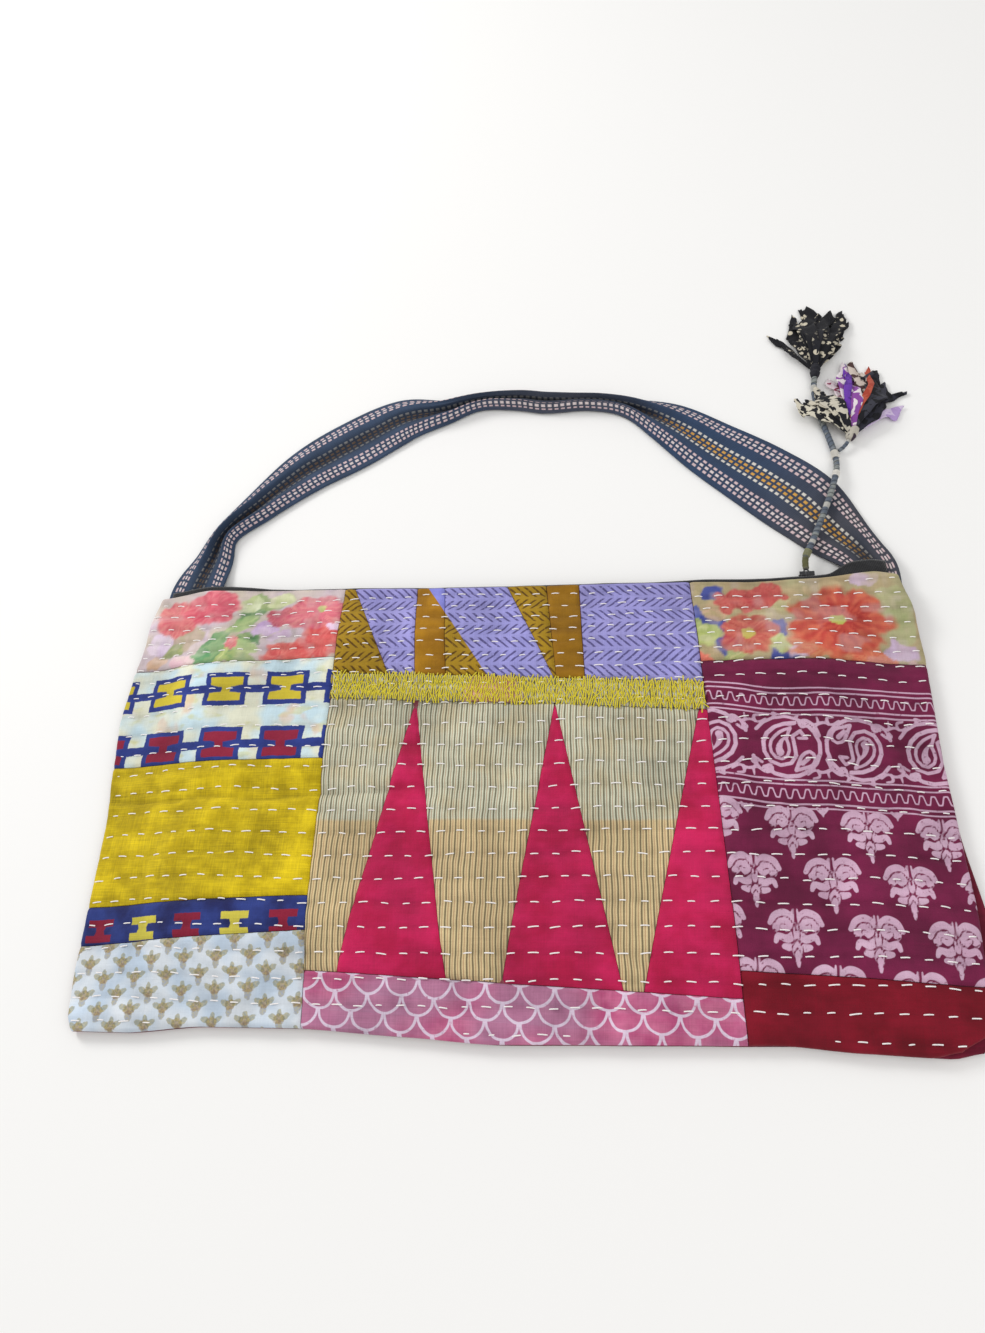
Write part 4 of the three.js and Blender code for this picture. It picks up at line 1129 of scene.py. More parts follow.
# One flower sprig of the field, 26 mm wide: a pale shape of curled leaves, with dark veins left out of it
butaHalf = [
    ([[0.9, 12.4], [0.7, 6.4]], 1.1, 1.6),
    ([[2.2, 8.6], [5, 11.0], [9.2, 9.8], [11.6, 6.0]], 4.4, 2.2),
    ([[3, 4.4], [6.6, 6.4], [8.8, 4.0]], 5.4, 3.6),
    ([[1, 0.6], [4.2, -0.8], [8.2, 0.4], [9.4, -2.2]], 4.6, 2.0),
    ([[0, -2], [3.2, -4.6], [5.8, -4.2]], 4.4, 2.4),
    ([[0, -2], [0, -7], [0, -12.4]], 7.0, 1.2),
]
veinHalf = [
    ([[0.2, 12.8], [0.4, 7.4], [1.8, 3.0], [1.0, -1.6]], 0.75, 0.6),
    ([[1.6, 6.4], [3.8, 9.2], [7.6, 8.6], [9.6, 6.0]], 0.75, 0.6),
    ([[1.8, 3.4], [4.2, 2.0], [7.4, 2.2], [10.2, 3.4]], 0.8, 0.6),
    ([[4.2, 5.2], [6.6, 6.0], [7.2, 4.2]], 0.6, 0.5),
    ([[1.0, -1.6], [3.4, -2.8], [7.2, -2.2]], 0.75, 0.6),
    ([[0, -1.0], [2.2, -4.0], [2.6, -7.4]], 0.7, 0.6),
    ([[0, -4.4], [1.6, -7.2], [0.9, -10.4]], 0.65, 0.5),
]


def mirrored(half):
    return half + [([[-a, b] for a, b in points], first, last) for points, first, last in half]


buta, veins = mirrored(butaHalf), mirrored(veinHalf)
maroonPrint = {
    "pitch": 35.3, "borderRow": 141.0, "borderStart": 142.2, "edgeLift": 5.4,
    "dropRow": 107.4, "dropStart": 156.4,
    "rows": [(96.6, 141.4), (72.2, 157.9), (47.3, 139.6), (24.0, 156.4)],
    "fieldPitch": 35.2, "fieldTilt": -0.04,
    "lines": (173.2, 170.6, 161.0, 158.6, 123.4, 120.9, 111.2, 108.8), "line": 0.42,
    "waves": (165.9, 116.2), "wave": 0.36, "wavePitch": 5.5, "waveHigh": 2.2,
}


# The printed cloth rides up where it was gathered at the column's seam
def printLift(x, y):
    return maroonPrint["edgeLift"] * (1 - ramp(x, 101, 147)) * mix(0.35, 1, ramp(y, 70, 118))


def maroonFields(flat):
    x, y = flat[..., 0], flat[..., 1]
    y = y - printLift(x, y) + 0.5 * cloud(x, y, 17, 21)
    x = x + 0.5 * cloud(x, y, 19, 23)
    field = np.full(x.shape, -9.0)
    for k in range(-2, 4):
        cx = maroonPrint["borderStart"] + k * maroonPrint["pitch"]
        near = (np.abs(x - cx) < 20) & (np.abs(y - maroonPrint["borderRow"]) < 21)
        sign = 1 if k % 2 == 0 else -1
        u, v = (x[near] - cx) * sign, (y[near] - maroonPrint["borderRow"]) * sign
        field[near] = np.maximum(field[near], strokeField(u, v, roundel))
        cx += maroonPrint["pitch"] / 2
        near = (np.abs(x - cx) < 13) & (np.abs(y - maroonPrint["borderRow"]) < 19)
        for flip in (1, -1):
            u, v = (x[near] - cx) * flip, (y[near] - maroonPrint["borderRow"]) * flip
            field[near] = np.maximum(field[near], strokeField(u, v, scroll))
        cx = maroonPrint["dropStart"] + k * maroonPrint["pitch"]
        near = (np.abs(x - cx) < 6) & (np.abs(y - maroonPrint["dropRow"]) < 7)
        drop = [([[-2.4, 1.6], [0, -0.6], [2.4, 1.6]], 1.6, 1.6), ([[0, 0.8], [0, -2.6]], 2.4, 0.6)]
        u, v = x[near] - cx, y[near] - maroonPrint["dropRow"]
        field[near] = np.maximum(field[near], strokeField(u, v, drop))
    for rowY, rowX in maroonPrint["rows"]:
        for k in range(-2, 4):
            cx = rowX + k * maroonPrint["fieldPitch"]
            cy = rowY + (cx - 157) * maroonPrint["fieldTilt"]
            near = (np.abs(x - cx) < 15) & (np.abs(y - cy) < 16)
            u, v = x[near] - cx, y[near] - cy
            shape = np.minimum(strokeField(u, v, buta), -strokeField(u, v, veins))
            field[near] = np.maximum(field[near], shape)
    return {"values": {"motif": field, "printX": x, "printY": y}}


# Maroon cloth: the drawn motifs come from the mesh, the border's lines and waves from the shader
def paintMaroon(net, x, y):
    motif, px, py = net.named("motif"), net.named("printX"), net.named("printY")
    colour = net.mottled(x, y, 0.05, 3.0, 0.5, 0.2, tint("601537"), tint("751c44"))
    mask = motif.over(0.0, 0.22)
    for level in maroonPrint["lines"]:
        mask = mask.most(abs(py - level).under(maroonPrint["line"], 0.16))
    wave = turn / maroonPrint["wavePitch"]
    for level in maroonPrint["waves"]:
        beat = (px * wave).sine()
        swing = beat * (1.45 - beat * beat * 0.45) * maroonPrint["waveHigh"]
        steep = px.math("COSINE", px * wave) * (1.45 - beat * beat * 1.35) * (maroonPrint["waveHigh"] * wave)
        gap = abs(py - level - swing) / (steep * steep + 1).root()
        mask = mask.most(gap.under(maroonPrint["wave"], 0.16))
    worn = net.noise(net.joined(x, y), 0.5, 3.0).over(0.3, 0.12)
    pale = net.toned(x, y, 0.1, 2.0, tint("bf93ad"), tint("d6b9cd"))
    return net.blend(mask * worn * 0.95, colour, pale)


# Watercolour flowers: dabs laid over one another, each with a soft uneven edge
def paintDabs(flat, ground, dabs, seed):
    px, py = flat[..., 0], flat[..., 1]
    x = px + 2.1 * cloud(px, py, 7, seed) + 1.1 * cloud(px, py, 2.8, seed + 1)
    y = py + 2.1 * cloud(px, py, 7, seed + 2) + 1.1 * cloud(px, py, 2.8, seed + 3)
    tone = 0.5 + 0.5 * cloud(x, y, 9, seed + 4)
    colour = mix(np.array(tint(ground[0])[:3]), np.array(tint(ground[1])[:3]), tone[..., None])
    for kind, cx, cy, rx, ry, lean, first, second in dabs:
        c, s = math.cos(math.radians(lean)), math.sin(math.radians(lean))
        u, v = ((x - cx) * c + (y - cy) * s) / rx, ((y - cy) * c - (x - cx) * s) / ry
        r, angle = np.hypot(u, v), np.arctan2(v, u)
        if kind == "flower":
            edge = 0.82 + 0.16 * np.abs(np.cos(angle * 3.5 + cx)) + 0.06 * cloud(x, y, 4, seed + 5)
            streak = 0.5 + 0.5 * np.sin(angle * 19 + 3 * r + cx) * ramp(r, 0.1, 0.5)
            streak = streak + 0.5 * cloud(x, y, 3.2, seed + 6)
            petal = 0.5 + 0.5 * np.cos(angle * 7 + cx * 2)
            share = np.clip(streak * 0.6 + petal * 0.4 * r, 0, 1)
        else:
            edge = 0.9 + 0.12 * cloud(x, y, 5, seed + 5)
            share = np.clip(0.5 + 0.5 * cloud(x, y, 3.6, seed + 7) + 0.25 * v, 0, 1)
            if kind == "leaf":
                edge = edge * (1 - 0.35 * np.abs(u))
                share = np.where(np.abs(v) < 0.1, 0.0, share)
        mask = ramp(edge - r, -0.05, 0.11) * 0.93
        paint = mix(np.array(tint(first)[:3]), np.array(tint(second)[:3]), share[..., None])
        colour = mix(colour, paint, mask[..., None])
    strokes = ramp(cloud(x * 0.8 + y * 0.5, y * 0.5 - x * 0.3, 2.2, seed + 8), 0.15, 0.6) * 0.22
    wash = ramp(cloud(px, py, 6, seed + 9), 0.1, 0.7) * 0.25
    colour = mix(colour, colour * np.array([0.62, 0.66, 0.55]), strokes[..., None])
    return mix(colour, np.array([0.62, 0.52, 0.5]), wash[..., None])


leftFlowers = [
    ("dab", -190, 217, 15, 8, 0, "c3ac9e", "b0a586"), ("leaf", -197, 209, 13, 5, 15, "a3a872", "8c9a68"),
    ("leaf", -150, 229, 16, 7, 35, "8ba878", "5b8c5a"), ("leaf", -141, 238, 14, 6, -15, "a5b27c", "87a06a"),
    ("leaf", -165, 202, 19, 7, 12, "6a9a64", "93b27a"), ("leaf", -152, 199, 16, 6, -12, "86a268", "b2ba78"),
    ("dab", -160, 217, 9, 5, 20, "bfae9c", "a8b084"), ("leaf", -148, 214, 14, 5, 25, "6f9c62", "a3b87e"),
    ("leaf", -170, 211, 17, 5.5, 38, "8fae7c", "4f8a5a"), ("leaf", -155, 222, 16, 6, 25, "b7c98c", "7fa56a"),
    ("dab", -140, 219, 8, 6, 10, "d9bfe0", "c4a4d2"), ("dab", -205, 214, 9, 7, 0, "dcc6e2", "e9d9e4"),
    ("dab", -134, 240, 9, 6, 0, "c9d29a", "dfe0b8"), ("dab", -152, 236, 9, 6, 20, "dfe3c4", "b9c58c"),
    ("leaf", -164, 199, 11, 4, 60, "c9cf8a", "9db26c"), ("leaf", -178, 203, 12, 4.5, 20, "5f9a68", "86b27e"),
    ("dab", -150, 206, 9, 5, -10, "c3cf8f", "a8bf85"), ("leaf", -145, 212, 9, 3, -40, "4f8054", "7ca36c"),
    ("flower", -195, 228, 15, 13, 0, "cf5866", "e08c86"),
    ("flower", -175, 236, 19, 13, 10, "cc4a60", "e07c84"),
    ("flower", -158.5, 209, 5, 5, 0, "d96a78", "ee9f9b"), ("dab", -206, 203, 8, 5, 0, "cfa98a", "e5c6ae"),
    ("dab", -190, 201, 10, 5, 0, "dcb3bd", "e8d2cf"), ("flower", -133, 227, 8.5, 7.5, 0, "bf4a64", "d87a80"),
    ("flower", -111, 229, 21, 15, 0, "c9526c", "de8484"), ("dab", -110, 231, 3, 2.4, 0, "a9b56c", "d9c48a"),
    ("flower", -124, 201, 17, 8, 0, "d24b49", "e58376"), ("flower", -105, 208, 18, 13, 0, "cf4546", "e2746e"),
    ("dab", -99, 218, 6, 4, 0, "dcc1de", "e6cfe0"), ("dab", -131, 214, 7, 4, 20, "dccbdc", "c9a9c9"),
]
rightFlowers = [
    ("dab", 111, 234, 7, 6, 0, "2b3a8c", "40509f"), ("dab", 110, 213, 9, 8, 0, "2f3f92", "4a5aa8"),
    ("dab", 143, 209, 7, 7, 0, "33418f", "4a5aa8"), ("dab", 118, 199, 7, 7, 0, "2b3a8c", "40509f"),
    ("dab", 146, 193, 8, 6, 0, "2b3a8c", "40509f"), ("dab", 101, 220, 5, 7, 0, "2f3f92", "4a5aa8"),
    ("leaf", 107, 205, 11, 8, 80, "a9b566", "c4c888"), ("leaf", 121, 193, 10, 7, 20, "c2bd86", "a8b070"),
    ("leaf", 143, 200, 9, 7, 60, "b6bf7e", "cfcf9c"), ("leaf", 147, 226, 9, 7, 20, "c4b78c", "a9a878"),
    ("leaf", 112, 222, 10, 7, 0, "c9a98a", "b6a47a"), ("dab", 134, 215, 12, 6, 10, "c3ab8c", "b9b184"),
    ("dab", 169, 234, 11, 6, 10, "c0a67c", "c9b592"), ("dab", 100, 212, 5, 8, 0, "b4bb78", "98a860"),
    ("flower", 104, 190, 7, 5, 0, "dd6a5c", "ea8a74"), ("flower", 123, 229, 12, 9, 0, "bd4448", "d06c64"),
    ("flower", 140, 231, 12, 8, 10, "b84046", "cc625c"),
    ("flower", 128.5, 206, 16, 15, 0, "b84746", "d07764"),
    ("dab", 128.5, 206, 3.6, 3.2, 0, "b3a84e", "cdbf6c"), ("dab", 155, 196, 9, 6, 0, "c9b3cc", "dcc8dc"),
    ("dab", 207, 213, 10, 14, 0, "b8b28c", "a7ad7a"), ("dab", 206, 229, 10, 8, 0, "c0b795", "a9ab78"),
    ("dab", 190, 239, 9, 5, 0, "cdb4cc", "bfae94"), ("dab", 205, 197, 9, 7, 0, "cdb6d2", "c7a9c7"),
    ("flower", 170, 198, 26, 10, 0, "c4664a", "d08c66"), ("flower", 192, 191, 12, 6, 0, "d0614c", "e08a66"),
    ("flower", 176, 214, 29, 23, 0, "b83c38", "d3694f"), ("flower", 178, 214, 17, 13, 20, "a83230", "cc5a46"),
    ("dab", 176.5, 214.5, 5, 4.2, 0, "9fae4c", "c3c46a"), ("dab", 213, 188, 7, 5, 0, "d9a9c9", "cdb6a2"),
]


def paintPrint(net, x, y):
    return net.named("print", "Color")


def flowersOn(ground, dabs, seed):
    return lambda flat: {"colours": paintDabs(flat, ground, dabs, seed)}


def patchSpecs():
    florals = clothMaterial("floralCotton", paintPrint, slub=0.1, blotch=0.12)
    mustardDashes = clothMaterial("mustardHerringbone", paintHerringbone("94740f", "a98520", "50340a"))
    mustardPlain = clothMaterial("mustardPlain", paintPlain("8a5f0a", "9d6f10"), slub=0.12)
    lilacDashes = clothMaterial("lilacHerringbone", paintHerringbone("8e8ccb", "a29bd2", "4c4577"))
    striped = clothMaterial("stripedCotton", paintStripes, slub=0.12)
    pink = clothMaterial("crimsonCotton", paintPlain("ad1242", "c21d55"), slub=0.14, sheen=0.1)
    redCotton = clothMaterial("redCotton", paintPlain("6a0618", "7d0c22"), slub=0.16)
    yellow = clothMaterial("yellowCotton", paintPlain("b39a05", "d4b914", 0.09), slub=0.36, crease=0.3)
    leftPrint = {"step": 1.0, "extras": flowersOn(("c9bda8", "cdbac8"), leftFlowers, 31)}
    rightPrint = {"step": 1.0, "extras": flowersOn(("b59f7b", "a6a07a"), rightFlowers, 47)}
    rows = [
        ("patch_floral_left", florals, "floral_print", leftPrint),
        ("patch_link_print", clothMaterial("linkCotton", paintLinks, slub=0.1), "link_print", {}),
        ("patch_yellow", yellow, "yellow_cotton", {}),
        ("patch_blue_band", clothMaterial("spoolCotton", paintSpools), "blue_print", {}),
        ("patch_sprig", clothMaterial("sprigCotton", paintSprigs, slub=0.07), "sprig_print", {}),
        ("patch_chevron_1", mustardDashes, "mustard_print", {}),
        ("patch_chevron_2", lilacDashes, "lilac_print", {}),
        ("patch_chevron_3", clothMaterial("mustardCut", paintCutPlain, slub=0.12), "mustard_print", {}),
        ("patch_chevron_4", clothMaterial("lilacCut", paintCutLilac), "lilac_print", {}),
        ("patch_chevron_5", mustardDashes, "mustard_print", {}),
        ("patch_chevron_6", mustardPlain, "mustard_print", {}),
        ("patch_chevron_7", lilacDashes, "lilac_print", {}),
        ("patch_embroidered_band", clothMaterial("bandCotton", paintBand), "embroidered_stripe", {}),
        *((f"patch_tongue_{k}", striped, "striped_cotton", {}) for k in (1, 2, 3)),
        *((f"patch_triangle_{k}", pink, "pink_cotton", {}) for k in (1, 2, 3)),
        ("patch_scallop", clothMaterial("scallopCotton", paintScallop), "scallop_print", {}),
        ("patch_floral_right", florals, "floral_print", rightPrint),
        ("patch_maroon_print", clothMaterial("maroonCotton", paintMaroon, slub=0.12), "maroon_print",
         {"step": 0.82, "extras": maroonFields}),
        ("patch_red_band", redCotton, "red_cotton", {}),
    ]
    return {node: {"material": material, "slot": slot, **more} for node, material, slot, more in rows}


plan = patchPlan()
for node, spec in patchSpecs().items():
    makePatch(node, spec, plan)
print("patches made")


# Quilted panels under the patches, rounded at their edges
panels = {"frontInset": 1.3, "frontDrop": 0.55, "backEdge": 1.2, "backRelief": 0.35,
          "backPitch": 12.2, "backFurrow": 1.8, "backFlat": 434}


def makePanels():
    plain = clothMaterial("backingCotton", paintPlain("6e3440", "8a4a54"))
    quilt = clothMaterial("backQuiltCotton", paintPlain("5a0c22", "74142e"), slub=0.2, crease=0.35)
    across = np.concatenate([[0, 0.0012, 0.003, 0.006], np.linspace(0.01, 0.99, 130),
                             [0.994, 0.997, 0.9988, 1]])
    up = np.concatenate([[0, 0.002, 0.005, 0.01], np.linspace(0.016, 0.984, 76), [0.99, 0.995, 0.998, 1]])
    a, u = np.meshgrid(across, up)
    inset = panels["frontInset"]
    aIn = mix(inset / bag["width"], 1 - inset / bag["width"], a)
    uIn = mix(inset / bag["height"], 1 - inset / bag["height"], u)
    flat = panelPoint(aIn, uIn)
    top = frontTop(aIn, uIn) - panels["frontDrop"] + np.minimum(0, quiltRelief(flat[..., 0], flat[..., 1]))
    upper = np.concatenate([flat, top[..., None]], -1)
    lower = np.concatenate([flat, (frontTop(aIn, uIn) - bag["frontQuilt"])[..., None]], -1)
    upper[..., 2] = np.maximum(upper[..., 2], lower[..., 2] + 0.4)
    front = sheetObject("front_panel_quilt", upper, lower, plain)
    flat = panelPoint(a, u, bag["backOverhang"])
    x, y = flat[..., 0], flat[..., 1]
    edge = np.minimum(np.minimum(a, 1 - a) * bag["width"], np.minimum(u, 1 - u) * bag["height"])
    bulge = np.sqrt(1 - np.clip(1 - edge / panels["backEdge"], 0, 1) ** 2)
    middle = bag["backQuilt"] / 2
    phase = y / panels["backPitch"] + 0.1 * cloud(x, y, 40, 5)
    away = (phase - np.round(phase)) * panels["backPitch"]
    furrow = panels["backRelief"] * np.exp(-((away / panels["backFurrow"]) ** 2))
    ruffle = 0.16 * (cloud(x, y * 0.5, 6, 9) + 1) * ramp(edge, 0, 8)
    upper = np.concatenate([flat, (middle + middle * bulge)[..., None]], -1)
    under = middle - middle * bulge + (furrow + ruffle) * ramp(edge, 1, 5)
    lower = np.concatenate([flat, under[..., None]], -1)
    back = sheetObject("back_panel_quilt", upper, lower, quilt)
    ready(front, "backing_cloth", "front_panel")
    ready(back, "back_quilt", "back_panel")


makePanels()
print("panels made")


# Geometry Nodes that lay one kind of stitch along rows of points
def stitchTree():
    tree = bpy.data.node_groups.new("stitchRows", "GeometryNodeTree")
    face = tree.interface
    face.new_socket("Geometry", in_out="INPUT", socket_type="NodeSocketGeometry")
    names = [("Pitch", 0.0096), ("Stitch length", 0.0049), ("Thread radius", 0.0004), ("Arch", 0.0005),
             ("Turn jitter", 0.12), ("Length jitter", 0.2), ("Side jitter", 0.0),
             ("Flatness", 0.8), ("Turn", 0.0)]
    for name, value in names:
        face.new_socket(name, in_out="INPUT", socket_type="NodeSocketFloat").default_value = value
    face.new_socket("Seed", in_out="INPUT", socket_type="NodeSocketInt").default_value = 7
    face.new_socket("Thread", in_out="INPUT", socket_type="NodeSocketMaterial")
    face.new_socket("Geometry", in_out="OUTPUT", socket_type="NodeSocketGeometry")
    net = Net(tree)
    given = tree.nodes.new("NodeGroupInput")

    def want(name):
        return Wire(net, given.outputs[name])

    rows = net.node("GeometryNodeMeshToCurve", {}, {"Mesh": want("Geometry")})
    rows = net.node("GeometryNodeResampleCurve", {"mode": "LENGTH"}, {"Curve": rows, "Length": want("Pitch")})
    half = want("Stitch length") * 0.5
    dash = net.node("GeometryNodeCurvePrimitiveLine", {}, {
        "Start": net.joined(-half, 0.0, 0.0), "End": net.joined(half, 0.0, 0.0)})
    dash = net.node("GeometryNodeResampleCurve", {"mode": "COUNT"}, {"Curve": dash, "Count": 6})
    share = net.node("GeometryNodeSplineParameter", {}, {}, "Factor")
    bow = (share * math.pi).sine()
    dash = net.node("GeometryNodeSetPosition", {}, {
        "Geometry": dash, "Offset": net.joined(0.0, 0.0, bow * want("Arch") - want("Arch") * 0.45)})
    dash = net.node("GeometryNodeSetCurveRadius", {}, {"Curve": dash, "Radius": (bow * 0.6 + 0.42)})
    ring = net.node("GeometryNodeCurvePrimitiveCircle", {"mode": "RADIUS"},
                    {"Resolution": 6, "Radius": want("Thread radius")})
    dash = net.node("GeometryNodeCurveToMesh", {}, {"Curve": dash, "Profile Curve": ring, "Fill Caps": True})
    dash = net.node("GeometryNodeTransform", {},
                    {"Geometry": dash, "Scale": net.joined(1.0, 1.0, want("Flatness"))})
    tangent = net.node("GeometryNodeInputTangent")
    facing = net.node("FunctionNodeAlignRotationToVector", {"axis": "X"}, {"Vector": tangent})
    facing = net.node("FunctionNodeAlignRotationToVector", {"axis": "Z", "pivot_axis": "X"},
                      {"Rotation": facing, "Vector": (0.0, 0.0, 1.0)})

    def chance(name, offset):
        return net.node("FunctionNodeRandomValue", {"data_type": "FLOAT"},
                        {2: want(name) * -1, 3: want(name), "Seed": want("Seed") + offset}, 1)

    swing = net.node("FunctionNodeAxisAngleToRotation", {},
                     {"Axis": (0.0, 0.0, 1.0), "Angle": chance("Turn jitter", 1) + want("Turn")})
    facing = net.node("FunctionNodeRotateRotation", {"rotation_space": "LOCAL"},
                      {"Rotation": facing, "Rotate By": swing})
    placed = net.node("GeometryNodeSetPosition", {}, {
        "Geometry": rows, "Offset": net.joined(0.0, chance("Side jitter", 3), 0.0)})
    laid = net.node("GeometryNodeInstanceOnPoints", {}, {
        "Points": placed, "Instance": dash, "Rotation": facing,
        "Scale": net.joined(1 + chance("Length jitter", 2), 1.0, 1.0)})
    real = net.node("GeometryNodeRealizeInstances", {}, {"Geometry": laid})
    done = net.node("GeometryNodeSetMaterial", {}, {"Geometry": real, "Material": want("Thread")})
    result = tree.nodes.new("NodeGroupOutput")
    tree.links.new(done.socket, result.inputs["Geometry"])
    return tree


stitchRows = stitchTree()


# Turns rows of points into a plain mesh of stitches
def sewRows(name, rows, material, **sizes):
    points, edges, offset = [], [], 0
    for row in rows:
        points.append(row)
        edges.extend((offset + k, offset + k + 1) for k in range(len(row) - 1))
        offset += len(row)
    mesh = bpy.data.meshes.new(name + "Rows")
    mesh.from_pydata(frameMetres(np.concatenate(points)).tolist(), edges, [])
    carrier = bpy.data.objects.new(name + "Rows", mesh)
    bpy.context.scene.collection.objects.link(carrier)
    modifier = carrier.modifiers.new("stitches", "NODES")
    modifier.node_group = stitchRows
    inputs = [item for item in stitchRows.interface.items_tree if item.in_out == "INPUT"]
    sockets = {item.name: item.identifier for item in inputs}
    for key, value in {"Thread": material, **sizes}.items():
        modifier[sockets[key]] = value
    depsgraph = bpy.context.evaluated_depsgraph_get()
    sewn = bpy.data.meshes.new_from_object(carrier.evaluated_get(depsgraph))
    sewn.name = name
    bpy.data.objects.remove(carrier)
    sewn.polygons.foreach_set("use_smooth", [True] * len(sewn.polygons))
    made = bpy.data.objects.new(name, sewn)
    bpy.context.scene.collection.objects.link(made)
    return made


# Height of the patchwork's outer face
def clothTop(x, y):
    across, up = shareOf(x, y)
    top = frontTop(np.clip(across, 0, 1), np.clip(up, 0, 1)) + bag["gap"] + bag["patchCloth"]
    return top + quiltRelief(x, y)


def kanthaRows():
    rows = []
    dice = np.random.default_rng(5)
    spacing = kantha["spacing"]
    for k in range(26):
        wanted = k + kantha["firstRow"]
        level = wanted * spacing
        if level > kantha["tighterFrom"]:
            start = kantha["tighterFrom"] / spacing
            level = kantha["tighterFrom"] + (wanted - start) / (1 / spacing + kantha["tighter"])
        if level > bag["height"] + 2:
            break
        x = np.arange(-222 + dice.uniform(0, 8), 224, 1.2)
        y = np.full_like(x, level)
        for _ in range(8):
            y = level - rowSway(x, y)
        across, up = shareOf(x, y)
        keep = (across > 0.008) & (across < 0.992) & (up > 0.014) & (up < 0.988)
        start = 0
        for stop in np.append(np.flatnonzero(np.diff(keep.astype(int))) + 1, len(x)):
            if keep[start] and stop - start > 6:
                z = clothTop(x[start:stop], y[start:stop]) + kantha["lift"]
                rows.append(np.stack([x[start:stop], y[start:stop], z], 1))
            start = stop
    return rows


offWhite = threadMaterial("offWhiteThread", "fffaf8")
kanthaStitches = sewRows("kantha_stitches", kanthaRows(), offWhite, **{
    "Pitch": kantha["pitch"] / 1000, "Stitch length": kantha["stitch"] / 1000,
    "Thread radius": kantha["thread"] / 1000, "Arch": 0.0007, "Turn jitter": 0.13, "Length jitter": 0.2,
    "Side jitter": 0.00035, "Seed": 7})
ready(kanthaStitches, "stitch_thread")

# Yellow embroidery over the striped band: upright strokes, laid close
embroidery = {"rows": 4, "pitch": 1.1, "stroke": 5.2, "thread": 0.34, "jitter": 1.0}


def embroideryRows():
    rows = []
    for k in range(embroidery["rows"]):
        share = (k + 0.5) / embroidery["rows"]
        across = np.linspace(0.006, 0.994, 170)
        low = np.stack([centrePoint(a, centreSeams["bandFoot"]) for a in across])
        high = np.stack([centrePoint(a, centreSeams["chevronFoot"]) for a in across])
        line = mix(low, high, share) + np.array([k * 0.21, 0])
        line[:, 1] += 0.6 * cloud(line[:, 0], line[:, 1], 9, 60 + k)
        rows.append(np.concatenate([line, clothTop(line[:, 0], line[:, 1])[:, None] + 0.15], 1))
    return rows


yellowThread = threadMaterial("yellowThread", "dccb28")
strokes = sewRows("band_embroidery", embroideryRows(), yellowThread, **{
    "Pitch": embroidery["pitch"] / 1000, "Stitch length": embroidery["stroke"] / 1000,
    "Thread radius": embroidery["thread"] / 1000, "Arch": 0.0006, "Turn": math.pi / 2, "Turn jitter": 0.2,
    "Length jitter": 0.35, "Side jitter": embroidery["jitter"] / 1000, "Seed": 21})
ready(strokes, "embroidered_stripe")
print("stitches laid")


# Zip: two woven tapes, the coil between their edges and the slider
zipper = {
    "inset": 0.012, "columns": 220, "backShort": 1, "toothPitch": 1.15, "tooth": 3.4, "toothRadius": 0.42,
    "sliderShare": 0.889, "across": 8, "deep": 2.6, "high": 4.2, "plate": 0.9, "bevel": 0.28,
    "ring": 1.3, "wire": 0.45, "ringSteps": 28, "wireSides": 10,
}


def tapeShow(across):
    return bag["tapeShow"] * along(tapeEdge, "across", "show", across)


def paintTape(net, x, y):
    ribs = ((x + y * 0.2) * (turn / 0.9)).sine()
    return net.toned(x, y, 0.2, 2.0, tint("0c0c0f"), tint("1a1a1e")), ribs * 0.06


def makeTapes():
    tapeCloth = clothMaterial("zipTapeCloth", paintTape, rough=0.8, slub=0.1, sheen=0.35)
    across = mix(zipper["inset"], 1 - zipper["inset"], np.linspace(0, 1, zipper["columns"]))
    mouth = panelPoint(across, np.ones_like(across))
    out = np.linspace(0, 1, 18)[:, None]
    frontZ = mouthTop(across) - bag["frontQuilt"] - bag["gap"]
    backFoot = bag["backQuilt"] + bag["gap"] + (strapSeam + bag["gap"]) * overStrap(across)
    edges = {"front": tapeShow(across),
             "back": tapeShow(across) * (1 - overStrap(across)) - zipper["backShort"] * overStrap(across)}
    for name, top in (("front", frontZ), ("back", backFoot + bag["tapeCloth"])):
        reach = mix(-bag["tapeDepth"], edges[name][None], out)
        upper = np.zeros((len(out), len(across), 3))
        upper[..., 0], upper[..., 1] = mouth[:, 0][None], mouth[:, 1][None] + reach
        sag = 0.22 * cloud(upper[..., 0], upper[..., 1] * 2, 9, 71) * out
        upper[..., 2] = top[None] + (sag if name == "front" else 0) - 0.1
        lower = upper.copy()
        lower[..., 2] -= bag["tapeCloth"] - 0.15
        ready(sheetObject(f"zip_tape_{name}_cloth", upper, lower, tapeCloth), "zip_tape", f"zip_tape_{name}")


def makeChain():
    nylon = threadMaterial("coilNylon", "1b1b1f", 0.45)
    across = np.linspace(0, 1, 400)
    across = across[overStrap(across) < 0.05]
    mouth = panelPoint(across, np.ones_like(across))
    foot = bag["backQuilt"] + 2 * bag["gap"] + bag["tapeCloth"]
    y = mouth[:, 1] + tapeShow(across) + bag["chainProud"] - zipper["tooth"] / 2 - 0.1
    rows = [np.stack([mouth[:, 0], y, np.full_like(y, foot + level)], 1) for level in (0.55, 1.25)]
    chain = sewRows("zip_coil", rows, nylon, **{
        "Pitch": zipper["toothPitch"] / 1000, "Stitch length": zipper["tooth"] / 1000,
        "Thread radius": zipper["toothRadius"] / 1000, "Arch": 0.0, "Turn": math.pi / 2, "Turn jitter": 0.03,
        "Length jitter": 0.02, "Flatness": 1.0, "Seed": 3})
    ready(chain, "zip_coil", "zip_chain")


